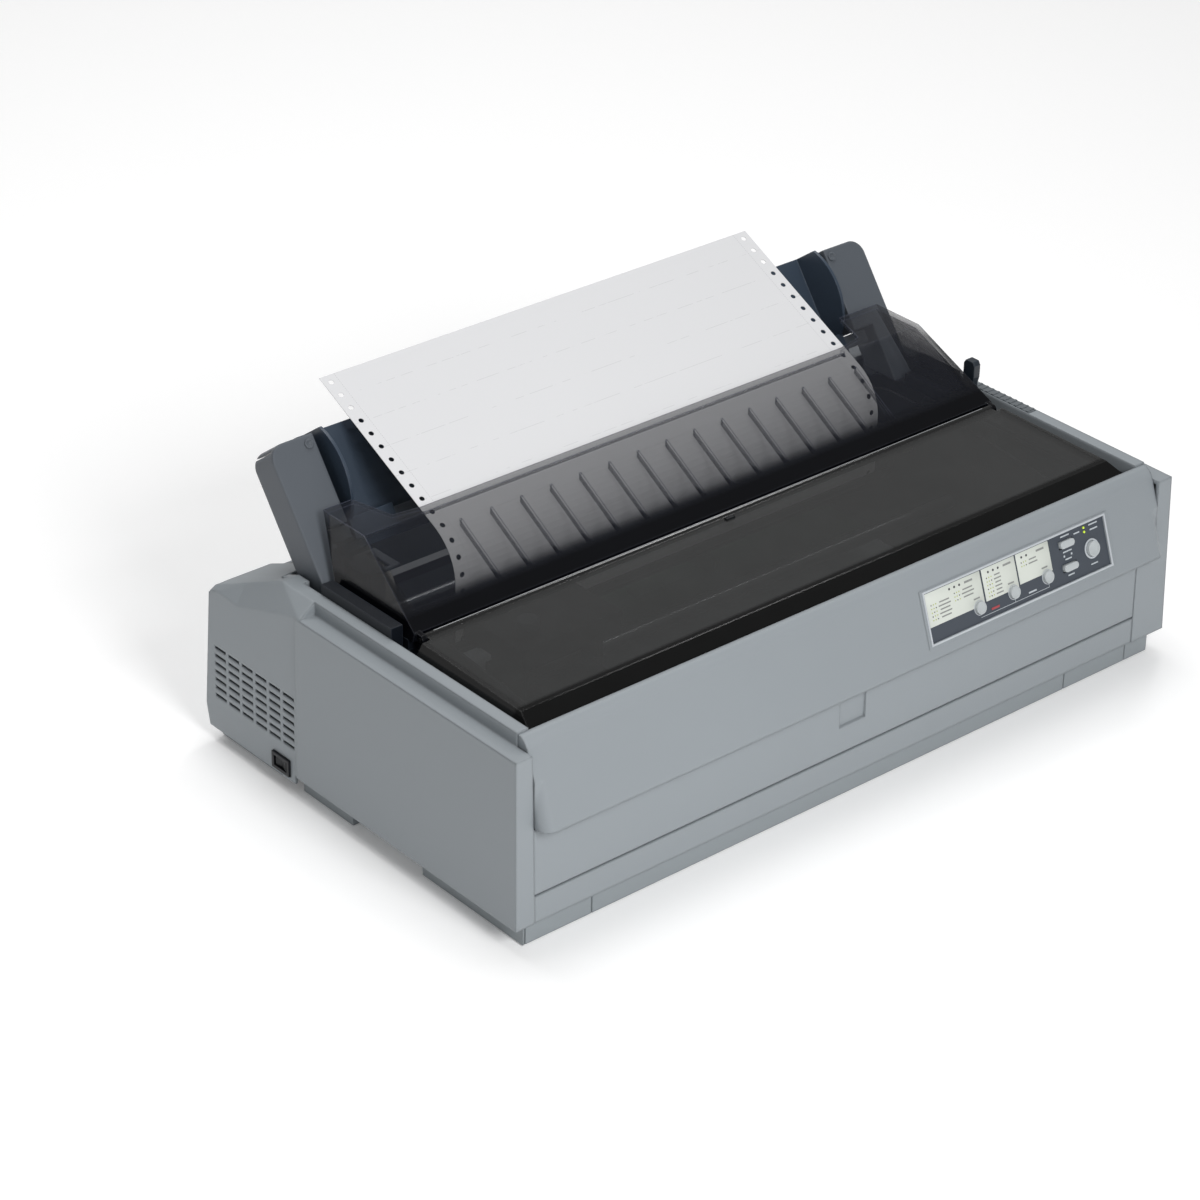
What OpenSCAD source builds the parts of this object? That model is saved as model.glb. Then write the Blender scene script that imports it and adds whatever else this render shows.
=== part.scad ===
// Dot matrix printer with a hinged smoked front cover, a lift-off rear shield and a fold-back
// paper guide. X is across the machine, Y runs from the front to the back, Z is up, in millimetres.
// Inside the modules Y is counted from the face of the front columns; place() centres the machine.

/* [Case] */
// Width of the case across its side panels
case_w = 630; // [624:1:640]
// Depth of the case from the front columns to the rear wall
case_depth = 347; // [344:1:356]
// Height of the shoulder along both sides of the case
shoulder_z = 147; // [145:0.5:150]
// Step from the shoulder up to the rim around the opening
rim_step = 10; // [9:0.5:11]
// Wall thickness of the mouldings
wall = 3; // [2.6:0.1:3.4]
// Height of the lower edge of the side panels
skirt_z = 18.75; // [17:0.25:20]
// How far the fascia's lower edge stands out in front of the columns
fascia_reach = 10.8; // [8:0.2:14]

/* [Covers] */
// Thickness of the smoked covers
cover_t = 2.5; // [2:0.1:3]
// Height of the flat top of the rear shield above the shoulder
shield_rise = 55.5; // [52:0.5:60]
// Room between each end of the front cover's hinge and the side of the opening
cover_room = 12.1; // [11:0.1:13]

/* [Paper guide] */
// Lean of the guide arms from the vertical, in degrees
guide_lean = 36.6; // [33:0.2:38]
// Length of a guide arm along its front face
guide_len = 112.2; // [106:0.2:118]
// Thickness of a guide arm
guide_t = 26; // [24:0.5:27]

/* [Paper] */
// Width of the sheet with its tractor strips
paper_w = 406.4; // [404:0.2:408]
// Length of one form
paper_len = 279.4; // [266.7:12.7:279.4]
// Pitch of the tractor holes
hole_pitch = 12.7; // [12:0.1:13]
// Diameter of a tractor hole
hole_d = 4; // [3.4:0.1:4.4]
// Slope of the sheet where it leaves the machine, in degrees
sheet_tilt = 25.97; // [24:0.5:28]

/* [Print mechanism] */
// Radius of the platen
platen_r = 17; // [16:0.2:17.4]
// Radius of the platen shaft and of the other round guide shafts
shaft_r = 5; // [4:0.1:5.5]
// Radius of the platen knob
knob_r = 21; // [18:0.5:22]
// Width of the print carriage
carriage_w = 70; // [64:1:76]
// Gear module
gear_m = 1; // [0.98:0.01:1]
// Side of the square tractor shaft
square_s = 8; // [7:0.2:8.4]
// Radius of the carriage belt pulleys
pulley_r = 8; // [7:0.2:9]

/* [Controls] */
// Radius of the small round buttons
button_r = 4.6; // [4:0.1:5]
// Travel of the buttons
button_travel = 1; // [0.6:0.1:1.2]
// Radius of the large round button
big_button_r = 6.5; // [6:0.1:7]

/* [Hidden] */

$fn = 48;
gap = 0.3;
eps = 0.01;

half = case_w / 2;
side_draft = 2.5;
front_lean = 3.4;
rim_z = shoulder_z + rim_step;
rim_x = half - 16.2;
inner_x = half - 26;
shoulder_end = case_depth - 110.3;
rim_end = case_depth - 73;
wedge_y = case_depth - 35.2;
wedge_z = shoulder_z - 26.8;
deck_z = shoulder_z - 22.3;
lip_z = deck_z - 3.8;
rear_bulge = 4;
set_in = 1;
set_in_y = case_depth - 105.5;
sheet_overhang = 5.2;
front_y = -(case_depth + sheet_overhang - fascia_reach) / 2;
open_y0 = 19.8;
open_y1 = case_depth - 85;
cover_w = 2 * (inner_x - cover_room);
foot_x = half - 10.3;
floor_z = 19.3;
floor_top = floor_z + wall;

fascia_z = shoulder_z - 55;
fascia_h = 52.3;
fascia_back = 8.3 + fascia_reach;
fascia_slope = atan(fascia_back / fascia_h);
fascia_x = rim_x - 0.8;
panel_x0 = -half + 16.2;
panel_x1 = half - 34.3;
gap_z = 39.3;
door_z = gap_z + 0.3 + 2.2;
door_y = face_y(gap_z) + 2.3;
inlet_x = -half + 33;
port_x = 150;
switch_y = case_depth - 87;

hinge_y = case_depth - 196;
knuckle_r = cover_t + 0.9;
hinge_z = rim_z + 2;
axis_z = hinge_z - cover_t + 0.6;
shield_y = hinge_y + knuckle_r + gap;
ear_x = cover_w / 2 - 2;
shield_z = shoulder_z + shield_rise;
apex_y = hinge_y + 73.5;
ledge_z = shoulder_z + 7.7;

arm_out = half - 33;
arm_in = half - 71;
arm_low = half - 52.5;
guide_y = case_depth - 103.3;
guide_z = shoulder_z + 2.4;
guide_pivot_n = 24.4;
guide_pivot_v = 16.9;
bar_v = 40;

platen_y = hinge_y + 65.5;
platen_z = 112;
sheet_t = 0.4;
sheet_x = -3.07;
hole_x = paper_w / 2 - 6.35;
sheet_y = platen_y - platen_r - gap - sheet_t / 2;
bend_r = 40;
bend_z = 153.6;
frame_x = half - 65;
frame_t = 2;

tractor_y = case_depth - 51;
tractor_z = 110;
pin_wheel_r = 8 * hole_pitch / (2 * PI);
tractor_bar_z = tractor_z - 27.5;
lid_z = tractor_z + 17.6;
pan_x = frame_x - 35;
lever_y = hinge_y + 32;
lever_z = 95;
lever_x = inner_x - 9.4;

pulley_x = frame_x - 25;
carriage_x = 70 - pulley_x;
slide_y = platen_y - 51.5;
slide_z = 80;
belt_y = slide_y - 37;
belt_z = 64;
head_y = sheet_y - sheet_t / 2 - 2.3;

gear_x = frame_x + 6;
gear_w = 6;
backlash = 0.3;
platen_teeth = 48;
pinion_teeth = 16;
idler_teeth = 38;
tractor_teeth = 46;
pinion_gap = gear_m * (platen_teeth + pinion_teeth) / 2 + 0.15;
idler_gap = gear_m * (platen_teeth + idler_teeth) / 2 + 0.15;
drive_gap = gear_m * (idler_teeth + tractor_teeth) / 2 + 0.15;
train_y = tractor_y - platen_y;
train_z = tractor_z - platen_z;
train_d = sqrt(train_y * train_y + train_z * train_z);
train_dir = atan2(train_z, train_y);
idler_bend = acos((idler_gap ^ 2 + train_d ^ 2 - drive_gap ^ 2) / (2 * idler_gap * train_d));
idler_dir = train_dir - idler_bend;
idler_y = platen_y + idler_gap * cos(idler_dir);
idler_z = platen_z + idler_gap * sin(idler_dir);
drive_dir = atan2(tractor_z - idler_z, tractor_y - idler_y);
motor_y = platen_y;
motor_z = platen_z - pinion_gap;
pinion_phase = mesh_phase(platen_teeth, 0, -90, pinion_teeth);
idler_phase = mesh_phase(platen_teeth, 0, idler_dir, idler_teeth);
tractor_phase = mesh_phase(idler_teeth, idler_phase, drive_dir, tractor_teeth);

case_grey = [0.52, 0.55, 0.6];
panel_grey = [0.5, 0.53, 0.58];
arm_grey = [0.36, 0.39, 0.44];
guide_blue = [0.26, 0.32, 0.45];
smoke = [0.06, 0.06, 0.07];
black = [0.08, 0.08, 0.09];
steel = [0.62, 0.63, 0.65];
cream = [0.84, 0.83, 0.78];
board_green = [0.1, 0.32, 0.2];
brass = [0.72, 0.58, 0.3];
gear_white = [0.88, 0.87, 0.82];

// Angle of the second gear that puts one of its gaps on a tooth of the first gear
function mesh_phase(n1, a1, dir, n2) = dir + 180 + (n1 * (dir - a1) - 180) / n2;

// Front face of the case at a height: it leans back towards the shoulder
function face_y(z) = front_lean * (z - skirt_z) / (shoulder_z - skirt_z);

function involute(r, base_r) = tan(acos(base_r / r)) * 180 / PI - acos(base_r / r);

// Half the angle a gear tooth takes up at a radius
function tooth_half(r, teeth, base_r) = 90 / teeth
  - backlash * 90 / (PI * gear_m * teeth)
  + involute(gear_m * teeth / 2, base_r) - involute(r, base_r);

// Points of a gear outline, six to a tooth
function gear_points(teeth, phase, root_r, flank_r, tip_r, base_r) = [
  for (i = [0 : teeth - 1])
    for (p = [[root_r, -tooth_half(flank_r, teeth, base_r)],
        [flank_r, -tooth_half(flank_r, teeth, base_r)],
        [tip_r, -tooth_half(tip_r, teeth, base_r)],
        [tip_r, tooth_half(tip_r, teeth, base_r)],
        [flank_r, tooth_half(flank_r, teeth, base_r)],
        [root_r, tooth_half(flank_r, teeth, base_r)]])
      [p[0] * cos(phase + i * 360 / teeth + p[1]), p[0] * sin(phase + i * 360 / teeth + p[1])]];

// Sheet path: lengths of its straight, bent, upright and wrapped parts, from the free edge down
bend_y = sheet_y + bend_r;
sheet_flat = paper_len - 133.8;
bend_len = bend_r * PI * (90 - sheet_tilt) / 180;
drop_len = bend_z - platen_z;
flat_y = bend_y - bend_r * sin(sheet_tilt);
flat_z = bend_z + bend_r * cos(sheet_tilt);
wrap_r = platen_y - sheet_y;
wrap_deg = (paper_len - sheet_flat - bend_len - drop_len) / wrap_r * 180 / PI;

// A place on the sheet: y, z and the direction of its upper face, at a distance from the free edge
function sheet_at(s) = s < sheet_flat
  ? [flat_y + (sheet_flat - s) * cos(sheet_tilt), flat_z + (sheet_flat - s) * sin(sheet_tilt),
      90 + sheet_tilt]
  : s < sheet_flat + bend_len
    ? bend_place(90 + sheet_tilt + (s - sheet_flat) / bend_r * 180 / PI)
    : s < sheet_flat + bend_len + drop_len
      ? [sheet_y, bend_z - (s - sheet_flat - bend_len), 180]
      : wrap_place(180 + (s - sheet_flat - bend_len - drop_len) / wrap_r * 180 / PI);

function bend_place(a) = [bend_y + bend_r * cos(a), bend_z + bend_r * sin(a), a];

function wrap_place(a) = [platen_y + wrap_r * cos(a), platen_z + wrap_r * sin(a), a];

// Centre the machine front to back
module place() {
  translate([0, front_y, 0]) children();
}

module both_sides() {
  children();
  mirror([1, 0, 0]) children();
}

module block(x0, x1, y0, y1, z0, z1) {
  translate([x0, y0, z0]) cube([x1 - x0, y1 - y0, z1 - z0]);
}

module rod_x(x0, x1, y, z, r) {
  translate([x0, y, z]) rotate([0, 90, 0]) cylinder(h = x1 - x0, r = r);
}

module rod_y(x, y0, y1, z, r) {
  translate([x, y0, z]) rotate([-90, 0, 0]) cylinder(h = y1 - y0, r = r);
}

module rod_z(x, y, z0, z1, r) {
  translate([x, y, z0]) cylinder(h = z1 - z0, r = r);
}

// A shape drawn in side view (y, z) and run across the machine
module side_shape(x0, x1, pts) {
  translate([x0, 0, 0]) rotate([90, 0, 90]) linear_extrude(x1 - x0) polygon(pts);
}

// A shape drawn in front view (x, z) and run from front to back
module front_shape(y0, y1, pts) {
  translate([0, y1, 0]) rotate([90, 0, 0]) linear_extrude(y1 - y0) polygon(pts);
}

// A shape drawn in plan (x, y) and run upwards
module plan_shape(z0, z1, pts) {
  translate([0, 0, z0]) linear_extrude(z1 - z0) polygon(pts);
}

// Frame of the fascia: x across, y into the machine from its face, z up along it
module on_fascia() {
  translate([0, -fascia_reach, fascia_z]) rotate([-fascia_slope, 0, 0]) children();
}

// Frame of the guide arms: x across, y back from their front face, z up along it
module on_guide() {
  translate([0, guide_y, guide_z]) rotate([-guide_lean, 0, 0]) children();
}

// Frame on the guide hinge line
module on_pivot() {
  on_guide() translate([0, guide_pivot_n, guide_pivot_v]) children();
}

// ---------------------------------------------------------------- case

// Outline of the case in front view, drawn inwards by t
module front_outline(t) {
  front_shape(-20, case_depth + 20, [[-half + t, 0], [-half + t, skirt_z],
    [-half + side_draft + t, shoulder_z], [-half + side_draft + t, rim_z + 20],
    [half - side_draft - t, rim_z + 20], [half - side_draft - t, shoulder_z],
    [half - t, skirt_z], [half - t, 0]]);
}

// Side panels and shoulders: side outline, drawn inwards by t
module side_outline(t) {
  side_shape(-half, half, [[face_y(0) + t, t > 0 ? 0 : skirt_z],
    [face_y(shoulder_z) + t, shoulder_z - t],
    [shoulder_end - t / 2, shoulder_z - t],
    [wedge_y - t / 2, wedge_z - t],
    [case_depth - 2 - t, wedge_z + (t > 0 ? -t : 1.7)],
    [case_depth + rear_bulge - t, 29],
    [case_depth - t, t > 0 ? 0 : 12],
    [case_depth - 103, t > 0 ? 0 : 12],
    [case_depth - 103, t > 0 ? 0 : skirt_z]]);
}

// Front view of a rear corner: from the rim or the deck down to the side panel
module corner_slice(y, top_x, top_z, side_x, side_z) {
  front_shape(y - eps, y + eps, [[inner_x, side_z - 12], [inner_x, top_z], [top_x, top_z],
    [side_x, side_z], [side_x, side_z - 12]]);
}

// Facet that joins the shoulder, the rim and the rear deck
module rear_corner() {
  wedge_deck = deck_z + (rim_z - deck_z) * (case_depth - wedge_y) / (case_depth - rim_end);
  hull() {
    corner_slice(shoulder_end, rim_x, rim_z, half - side_draft, shoulder_z);
    corner_slice(rim_end, rim_x, rim_z, half - 1.4, shoulder_z - 13.3);
    corner_slice(wedge_y, rim_x + 4, wedge_deck, half - eps, wedge_z);
  }
  hull() {
    corner_slice(wedge_y, rim_x + 4, wedge_deck, half - eps, wedge_z);
    corner_slice(case_depth - 3.6, half - 8, deck_z + 1.6, half - eps, wedge_z + 1.7);
  }
}

// Rim and rear deck in side view, run between the rims
module deck_outline() {
  side_shape(-rim_x, rim_x, [[open_y0, shoulder_z - 5], [open_y0, rim_z], [rim_end, rim_z],
    [case_depth - 2, deck_z + 0.7], [case_depth - 0.6, deck_z - 6], [case_depth - 0.6, lip_z - 8],
    [open_y1, lip_z - 8], [open_y1, shoulder_z - 5]]);
}

// Rear part of the sides, set in a little behind the front part
module rear_set_in() {
  difference() {
    block(-half - 1, half + 1, set_in_y, case_depth + 19, -1, rim_z + 10);
    front_outline(set_in);
  }
}

module case_shell() {
  difference() {
    union() {
      intersection() {
        side_outline(0);
        front_outline(0);
      }
      deck_outline();
      both_sides() rear_corner();
    }
    intersection() {
      side_outline(wall);
      front_outline(wall);
    }
    // Hollow under the rear deck
    side_shape(-rim_x + wall, rim_x - wall, [[open_y1 + wall, lip_z - 20],
      [open_y1 + wall, rim_z - wall], [rim_end - 1, rim_z - wall],
      [case_depth - 7, deck_z - 1], [case_depth - 7, lip_z - 20]]);
    rear_set_in();
  }
}

// Vent slots in the left side panel
module side_vents() {
  for (row = [0 : 6])
    for (i = [0 : 5])
      block(-half - 1, -half + wall + 3, case_depth - 102 + i * 16.2, case_depth - 89 + i * 16.2,
        39.5 + row * 6.5, 39.5 + row * 6.5 + 2.4);
}

module upper_case() place() color(case_grey) difference() {
  union() {
    case_shell();
    both_sides() {
      // Inner walls of the opening and screw bosses
      block(inner_x, inner_x + wall, open_y0, open_y1 + 22, shoulder_z - 17, rim_z - 2.9);
      rod_z(half - 10.5, 50, floor_top, shoulder_z - wall + 0.5, 4.5);
      rod_z(half - 10.5, case_depth - 169, floor_top, shoulder_z - wall + 0.5, 4.5);
    }
    // Knob cup in the right side panel
    difference() {
      rod_x(inner_x + 1, half - 1.5, platen_y, platen_z, knob_r + 5);
      rod_x(inner_x + 4, half + 1, platen_y, platen_z, knob_r + 2.5);
    }
    // Hinge bosses of the front panel
    block(panel_x0 - 8, panel_x0, face_y(gap_z) + 0.5, 9, gap_z - 5, gap_z + 9);
    block(panel_x1, panel_x1 + 8, face_y(gap_z) + 0.5, 9, gap_z - 5, gap_z + 9);
  }
  // Opening, guide arm slots and paper entry
  block(-inner_x, inner_x, open_y0 - 1, open_y1, shoulder_z - 18, rim_z + 5);
  both_sides() block(arm_in - 12, inner_x - 4.5, open_y1 - 1, open_y1 + 27,
    shoulder_z - 30, rim_z + 5);
  block(-half + 57, half - 57, open_y1 - 1, case_depth - 8, lip_z - 30, rim_z + 5);
  block(-half + 57, half - 57, open_y1 - 1, case_depth + 5, lip_z, rim_z + 5);
  // Front: strip, panel and fascia
  block(panel_x0, panel_x1, -5, wall + 5.5, 0, fascia_z - 0.6);
  block(-rim_x, rim_x, -5, open_y0, fascia_z - 0.6 - eps, rim_z + 5);
  rod_x(panel_x0 - 5, panel_x0 + 1, door_y, door_z, 1.25);
  rod_x(panel_x1 - 1, panel_x1 + 5, door_y, door_z, 1.25);
  // Guide pivots
  both_sides() on_pivot() rod_x(inner_x - 1, inner_x + wall + 1, 0, 0, 3.55);
  // Knob opening and shaft hole
  rod_x(half - 8, half + 2, platen_y, platen_z, knob_r + 2.5);
  rod_x(inner_x - 2, inner_x + 6, platen_y, platen_z, shaft_r + 3);
  side_vents();
  // Power switch and rear sockets
  block(-half - 1, -half + wall + 2, switch_y - 10.3, switch_y + 10.3, 14.7, 28.3);
  block(inlet_x - 14.3, inlet_x + 14.3, case_depth - 8, case_depth + 8, 39.7, 60.3);
  block(port_x - 30.3, port_x + 30.3, case_depth - 8, case_depth + 8, 37.7, 54.3);
}

module base_pan() place() color([0.3, 0.32, 0.35]) difference() {
  union() {
    block(-half + wall + 0.3, half - wall - 0.3, 6, case_depth - wall - 0.6, floor_z, floor_top);
    // Front and rear skirt blocks
    difference() {
      block(-foot_x, foot_x, 5, 112, 1, floor_z + eps);
      block(-foot_x + wall, foot_x - wall, 5 + wall, 112 - wall, 0, floor_z);
    }
    difference() {
      block(-foot_x, foot_x, case_depth - 157, case_depth - 1.8, 1, floor_z + eps);
      block(-foot_x + wall, foot_x - wall, case_depth - 157 + wall, case_depth - 1.8 - wall, 0,
        floor_z);
    }
    // Post of the idler pulley and main board posts
    rod_z(pulley_x, belt_y, floor_top - eps, belt_z - 2.3, 6);
    rod_z(pulley_x, belt_y, floor_top - eps, belt_z + 8, 3);
    for (x = [-90, 60, frame_x - 30])
      for (y = [case_depth - 99, case_depth - 21])
        rod_z(x, y, floor_top - eps, floor_top + 8, 4);
  }
  // Room for the power switch
  block(-half, -half + 17, switch_y - 13, switch_y + 13, 0, floor_top + 1);
  // Grooves in the front skirt
  for (x = [-half + 12, -half + 70, half - 101, half - 35])
    block(x - 0.6, x + 0.6, 4, 6, 0, floor_z - 1);
}

module rubber_feet() place() color(black) {
  for (x = [-half + 26, half - 26])
    for (y = [24, case_depth - 22])
      rod_z(x, y, 0, floor_z, 11);
}

module front_strip() place() color(panel_grey) {
  side_shape(panel_x0 + 0.3, panel_x1 - 0.3, [[face_y(skirt_z), skirt_z],
    [face_y(gap_z - 0.3), gap_z - 0.3], [face_y(gap_z - 0.3) + 2.6, gap_z - 0.3],
    [wall, floor_top + 3], [14, floor_top + 3], [14, floor_top + gap], [4.7, floor_top + gap],
    [4.7, skirt_z]]);
}

module front_panel() place() color(panel_grey) {
  difference() {
    union() {
      side_shape(panel_x0 + 0.3, panel_x1 - 0.3, [[face_y(door_z) + 0.02, door_z],
        [face_y(fascia_z - 1.4), fascia_z - 1.4], [face_y(fascia_z - 1.4) + 3, fascia_z - 1.4],
        [door_y + 2.2, door_z + 4], [door_y + 2.2, door_z]]);
      rod_x(panel_x0 + 0.3, panel_x1 - 0.3, door_y, door_z, 2.2);
      rod_x(panel_x0 - 4, panel_x1 + 4, door_y, door_z, 1.2);
    }
    // Finger grip
    block(-23, 2, -2, face_y(75) + 1.6, gap_z + 22, fascia_z + 1);
  }
}

// ---------------------------------------------------------------- control panel

label_x0 = 57.3;
label_x1 = 240.9;
label_v0 = 11.7;
label_v1 = 48.6;
pill_w = 14.4;
pill_h = 5.4;
board_n = 6.6 + button_travel;
led_r = 0.9;
round_buttons = [[107.2, 22.3, button_r], [141.9, 22.5, button_r], [176.8, 22.8, button_r],
  [225, 28.7, big_button_r]];

// Cut away outside the rounded front corner of the fascia's end, where it stands out of the case
module end_round() {
  intersection() {
    on_fascia() difference() {
      block(fascia_x - 9, fascia_x + 3, -3, 9, -30, 90);
      rod_z(fascia_x - 9, 9, -31, 91, 9);
    }
    block(0, half, -30, face_y(fascia_z), 0, rim_z);
  }
}

// Openings for the buttons and lights, drawn larger by g
module panel_holes(g, n0, n1) {
  for (b = round_buttons)
    rod_y(b[0], n0, n1, b[1], b[2] + g);
  for (v = [22.8, 40.3])
    block(200.4 - pill_w / 2 - g, 200.4 + pill_w / 2 + g, n0, n1, v - pill_h / 2 - g,
      v + pill_h / 2 + g);
  for (v = [42.7, 45.9])
    rod_y(220.4, n0, n1, v, led_r + g);
}

module fascia() place() color(case_grey) difference() {
  union() {
    // Hollow strip with closed ends
    side_shape(-fascia_x, fascia_x, [[-fascia_reach, fascia_z],
      [fascia_back - fascia_reach, fascia_z + fascia_h], [10, rim_z - 8], [12.8, rim_z - 4.2],
      [16.2, rim_z - 1.7], [open_y0 - 0.3, rim_z - 1.2], [open_y0 - 0.3, rim_z - 20],
      [open_y0 - wall, rim_z - 20], [open_y0 - wall, rim_z - 5], [14.5, rim_z - 6.5],
      [fascia_back - fascia_reach + 3.4, fascia_z + fascia_h - 0.5],
      [wall * 1.12 - fascia_reach + wall * fascia_back / fascia_h, fascia_z + wall],
      [7.5, fascia_z + wall], [7.5, fascia_z]]);
    both_sides() side_shape(fascia_x - 12, fascia_x, [[-fascia_reach, fascia_z],
      [fascia_back - fascia_reach, fascia_z + fascia_h], [10, rim_z - 8], [12.8, rim_z - 4.2],
      [16.2, rim_z - 1.7], [open_y0 - 0.3, rim_z - 1.2], [open_y0 - 0.3, rim_z - 20],
      [7.5, fascia_z]]);
    // Raised frame around the label
    on_fascia() block(label_x0 - 4, label_x1 + 4, -0.6, 1, label_v0 - 3, label_v1 + 2.6);
    // Board posts
    on_fascia() for (p = [[66, 34], [150, 34], [234, 16.5]])
      rod_y(p[0], wall - 0.5, board_n, p[1], 2.5);
  }
  both_sides() end_round();
  on_fascia() block(label_x0, label_x1, -2, 1.4, label_v0, label_v1);
  on_fascia() panel_holes(0.3, -3, 7);
}

module control_label() place() color([0.16, 0.17, 0.21]) on_fascia() difference() {
  block(label_x0 + 0.15, label_x1 - 0.15, 0.3, 1.4, label_v0 + 0.15, label_v1 - 0.15);
  panel_holes(0.3, -3, 7);
}

module panel_leds() place() color([0.6, 0.75, 0.15]) on_fascia() {
  for (v = [42.7, 45.9])
    rod_y(220.4, 0, board_n, v, led_r);
}

module panel_board() place() color(board_green) on_fascia() {
  block(60, 238, board_n, board_n + 1.6, 13, 50);
}

// A round button with a retaining flange behind the fascia
module round_button(i, proud) {
  b = round_buttons[i];
  on_fascia() {
    rod_y(b[0], -proud, wall + 0.4, b[1], b[2]);
    rod_y(b[0], wall + 0.35, wall + 1.6, b[1], b[2] + 1.4);
    rod_y(b[0], wall + 1.5, board_n - button_travel - 0.35, b[1], 2);
  }
}

// A rectangular button with a retaining flange behind the fascia
module pill_button(v) {
  on_fascia() {
    block(200.4 - pill_w / 2, 200.4 + pill_w / 2, -2.2, wall + 0.4, v - pill_h / 2, v + pill_h / 2);
    block(200.4 - pill_w / 2 - 1.2, 200.4 + pill_w / 2 + 1.2, wall + 0.35, wall + 1.6,
      v - pill_h / 2 - 1.2, v + pill_h / 2 + 1.2);
    rod_y(200.4, wall + 1.5, board_n - button_travel - 0.35, v, 1.8);
  }
}

module button_1() place() color(cream) round_button(0, 2.2);

module button_2() place() color(cream) round_button(1, 2.2);

module button_3() place() color(cream) round_button(2, 2.2);

module button_4() place() color(cream) pill_button(40.3);

module button_5() place() color(cream) pill_button(22.8);

module button_6() place() color(cream) round_button(3, 2.6);

module switch_frame() place() color(black) difference() {
  union() {
    block(-half - 0.6, -half + wall, switch_y - 10, switch_y + 10, 15, 28);
    block(-half + wall, -half + 16, switch_y - 9, switch_y + 9, 16, floor_top + 6);
  }
  block(-half - 2, -half + 9, switch_y - 7.5, switch_y + 7.5, 17.5, 25.5);
  rod_z(-half + 5, switch_y, 16.6, 26.5, 1.05);
}

module power_rocker() place() color(black) translate([-half, switch_y, 0]) {
  plan_shape(17.9, 25.1, [[-0.4, -6.4], [1.4, 0], [0.4, 6.4], [4.5, 6.2], [6, 2], [6, -2],
    [3.6, -6.2]]);
  rod_z(5, 0, 16.7, 26.4, 1);
}

// ---------------------------------------------------------------- covers

module front_cover() place() color(smoke) {
  flank_z = shoulder_z + 0.4;
  top_x = cover_w / 2 + 0.9;
  low_x = top_x + 7.2;
  difference() {
    intersection() {
      side_shape(-half, half, [[21.2, flank_z], [39.1, hinge_z - 2.5], [hinge_y, hinge_z],
        [hinge_y, flank_z]]);
      front_shape(0, 200, [[-low_x, flank_z], [-top_x, hinge_z], [top_x, hinge_z],
        [low_x, flank_z]]);
    }
    intersection() {
      side_shape(-half, half, [[26.8, flank_z - 1], [40, hinge_z - 2.5 - cover_t],
        [hinge_y + 1, hinge_z - cover_t], [hinge_y + 1, flank_z - 1]]);
      front_shape(0, 200, [[-low_x + 2.5, flank_z - 1], [-top_x + 3.2, hinge_z - cover_t],
        [top_x - 3.2, hinge_z - cover_t], [low_x - 2.5, flank_z - 1]]);
    }
    // Room for the ears of the rear shield
    both_sides() block(ear_x - 4.3, half, hinge_y - 6.5, hinge_y + 4, flank_z - 2, hinge_z + 2);
  }
  rod_x(-ear_x + 4.3, ear_x - 4.3, hinge_y, axis_z, knuckle_r);
  rod_x(-ear_x - 0.2, ear_x + 0.2, hinge_y, axis_z, 1.5);
}

module rear_shield() place() color(smoke) difference() {
  union() {
    difference() {
      intersection() {
        side_shape(-half, half, [[shield_y, ledge_z + 0.3], [shield_y, hinge_z + 1.6],
          [apex_y, shield_z - 0.1], [apex_y + 46, shield_z + 0.3], [apex_y + 18.5, ledge_z + 6],
          [apex_y + 15.5, ledge_z + 0.3]]);
        front_shape(0, 400, [[-cover_w / 2 - 1.3, ledge_z], [-cover_w / 2 + 12, shield_z + 1],
          [cover_w / 2 - 12, shield_z + 1], [cover_w / 2 + 1.3, ledge_z]]);
      }
      intersection() {
        side_shape(-half, half, [[shield_y - 6, ledge_z - 1], [shield_y - 6, hinge_z - 4.8],
          [apex_y + 0.8, shield_z - 0.1 - cover_t], [apex_y + 60, shield_z - 0.1 - cover_t],
          [apex_y + 60, ledge_z - 1]]);
        front_shape(0, 400, [[-cover_w / 2 + 1.5, ledge_z - 1], [-cover_w / 2 + 14.6, shield_z],
          [cover_w / 2 - 14.6, shield_z], [cover_w / 2 - 1.5, ledge_z - 1]]);
      }
    }
    // Ribs behind the front wall
    for (i = [-7 : 7])
      side_shape(i * 27 - 0.8, i * 27 + 0.8, [[shield_y + 8, hinge_z + 4],
        [shield_y + 60, shield_z - 8.5], [shield_y + 60, shield_z - 14],
        [shield_y + 12, hinge_z + 1]]);
    // Lip along the paper slot
    block(-cover_w / 2 + 66.9, cover_w / 2 - 85.9, apex_y + 4, apex_y + 8, shield_z - 5,
      shield_z - 1);
    // Hinge ears
    both_sides() {
      rod_x(ear_x - 4, ear_x, hinge_y, axis_z, knuckle_r + 0.1);
      side_shape(ear_x - 4, ear_x, [[hinge_y, axis_z - knuckle_r], [shield_y + 6, ledge_z + 0.3],
        [shield_y + 6, hinge_z + 3], [hinge_y, axis_z + knuckle_r]]);
    }
  }
  // Paper slot, open to the back
  plan_shape(shield_z - 12, shield_z + 4, [[-cover_w / 2 + 35.4, apex_y + 50],
    [-cover_w / 2 + 44.7, apex_y + 11.4], [-cover_w / 2 + 66.9, apex_y + 8],
    [cover_w / 2 - 85.9, apex_y + 8], [cover_w / 2 - 64.1, apex_y + 12.6],
    [cover_w / 2 - 49.9, apex_y + 50]]);
  both_sides() rod_x(ear_x - 5, ear_x + 0.5, hinge_y, axis_z, 1.55);
}

// ---------------------------------------------------------------- opening trim

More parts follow.
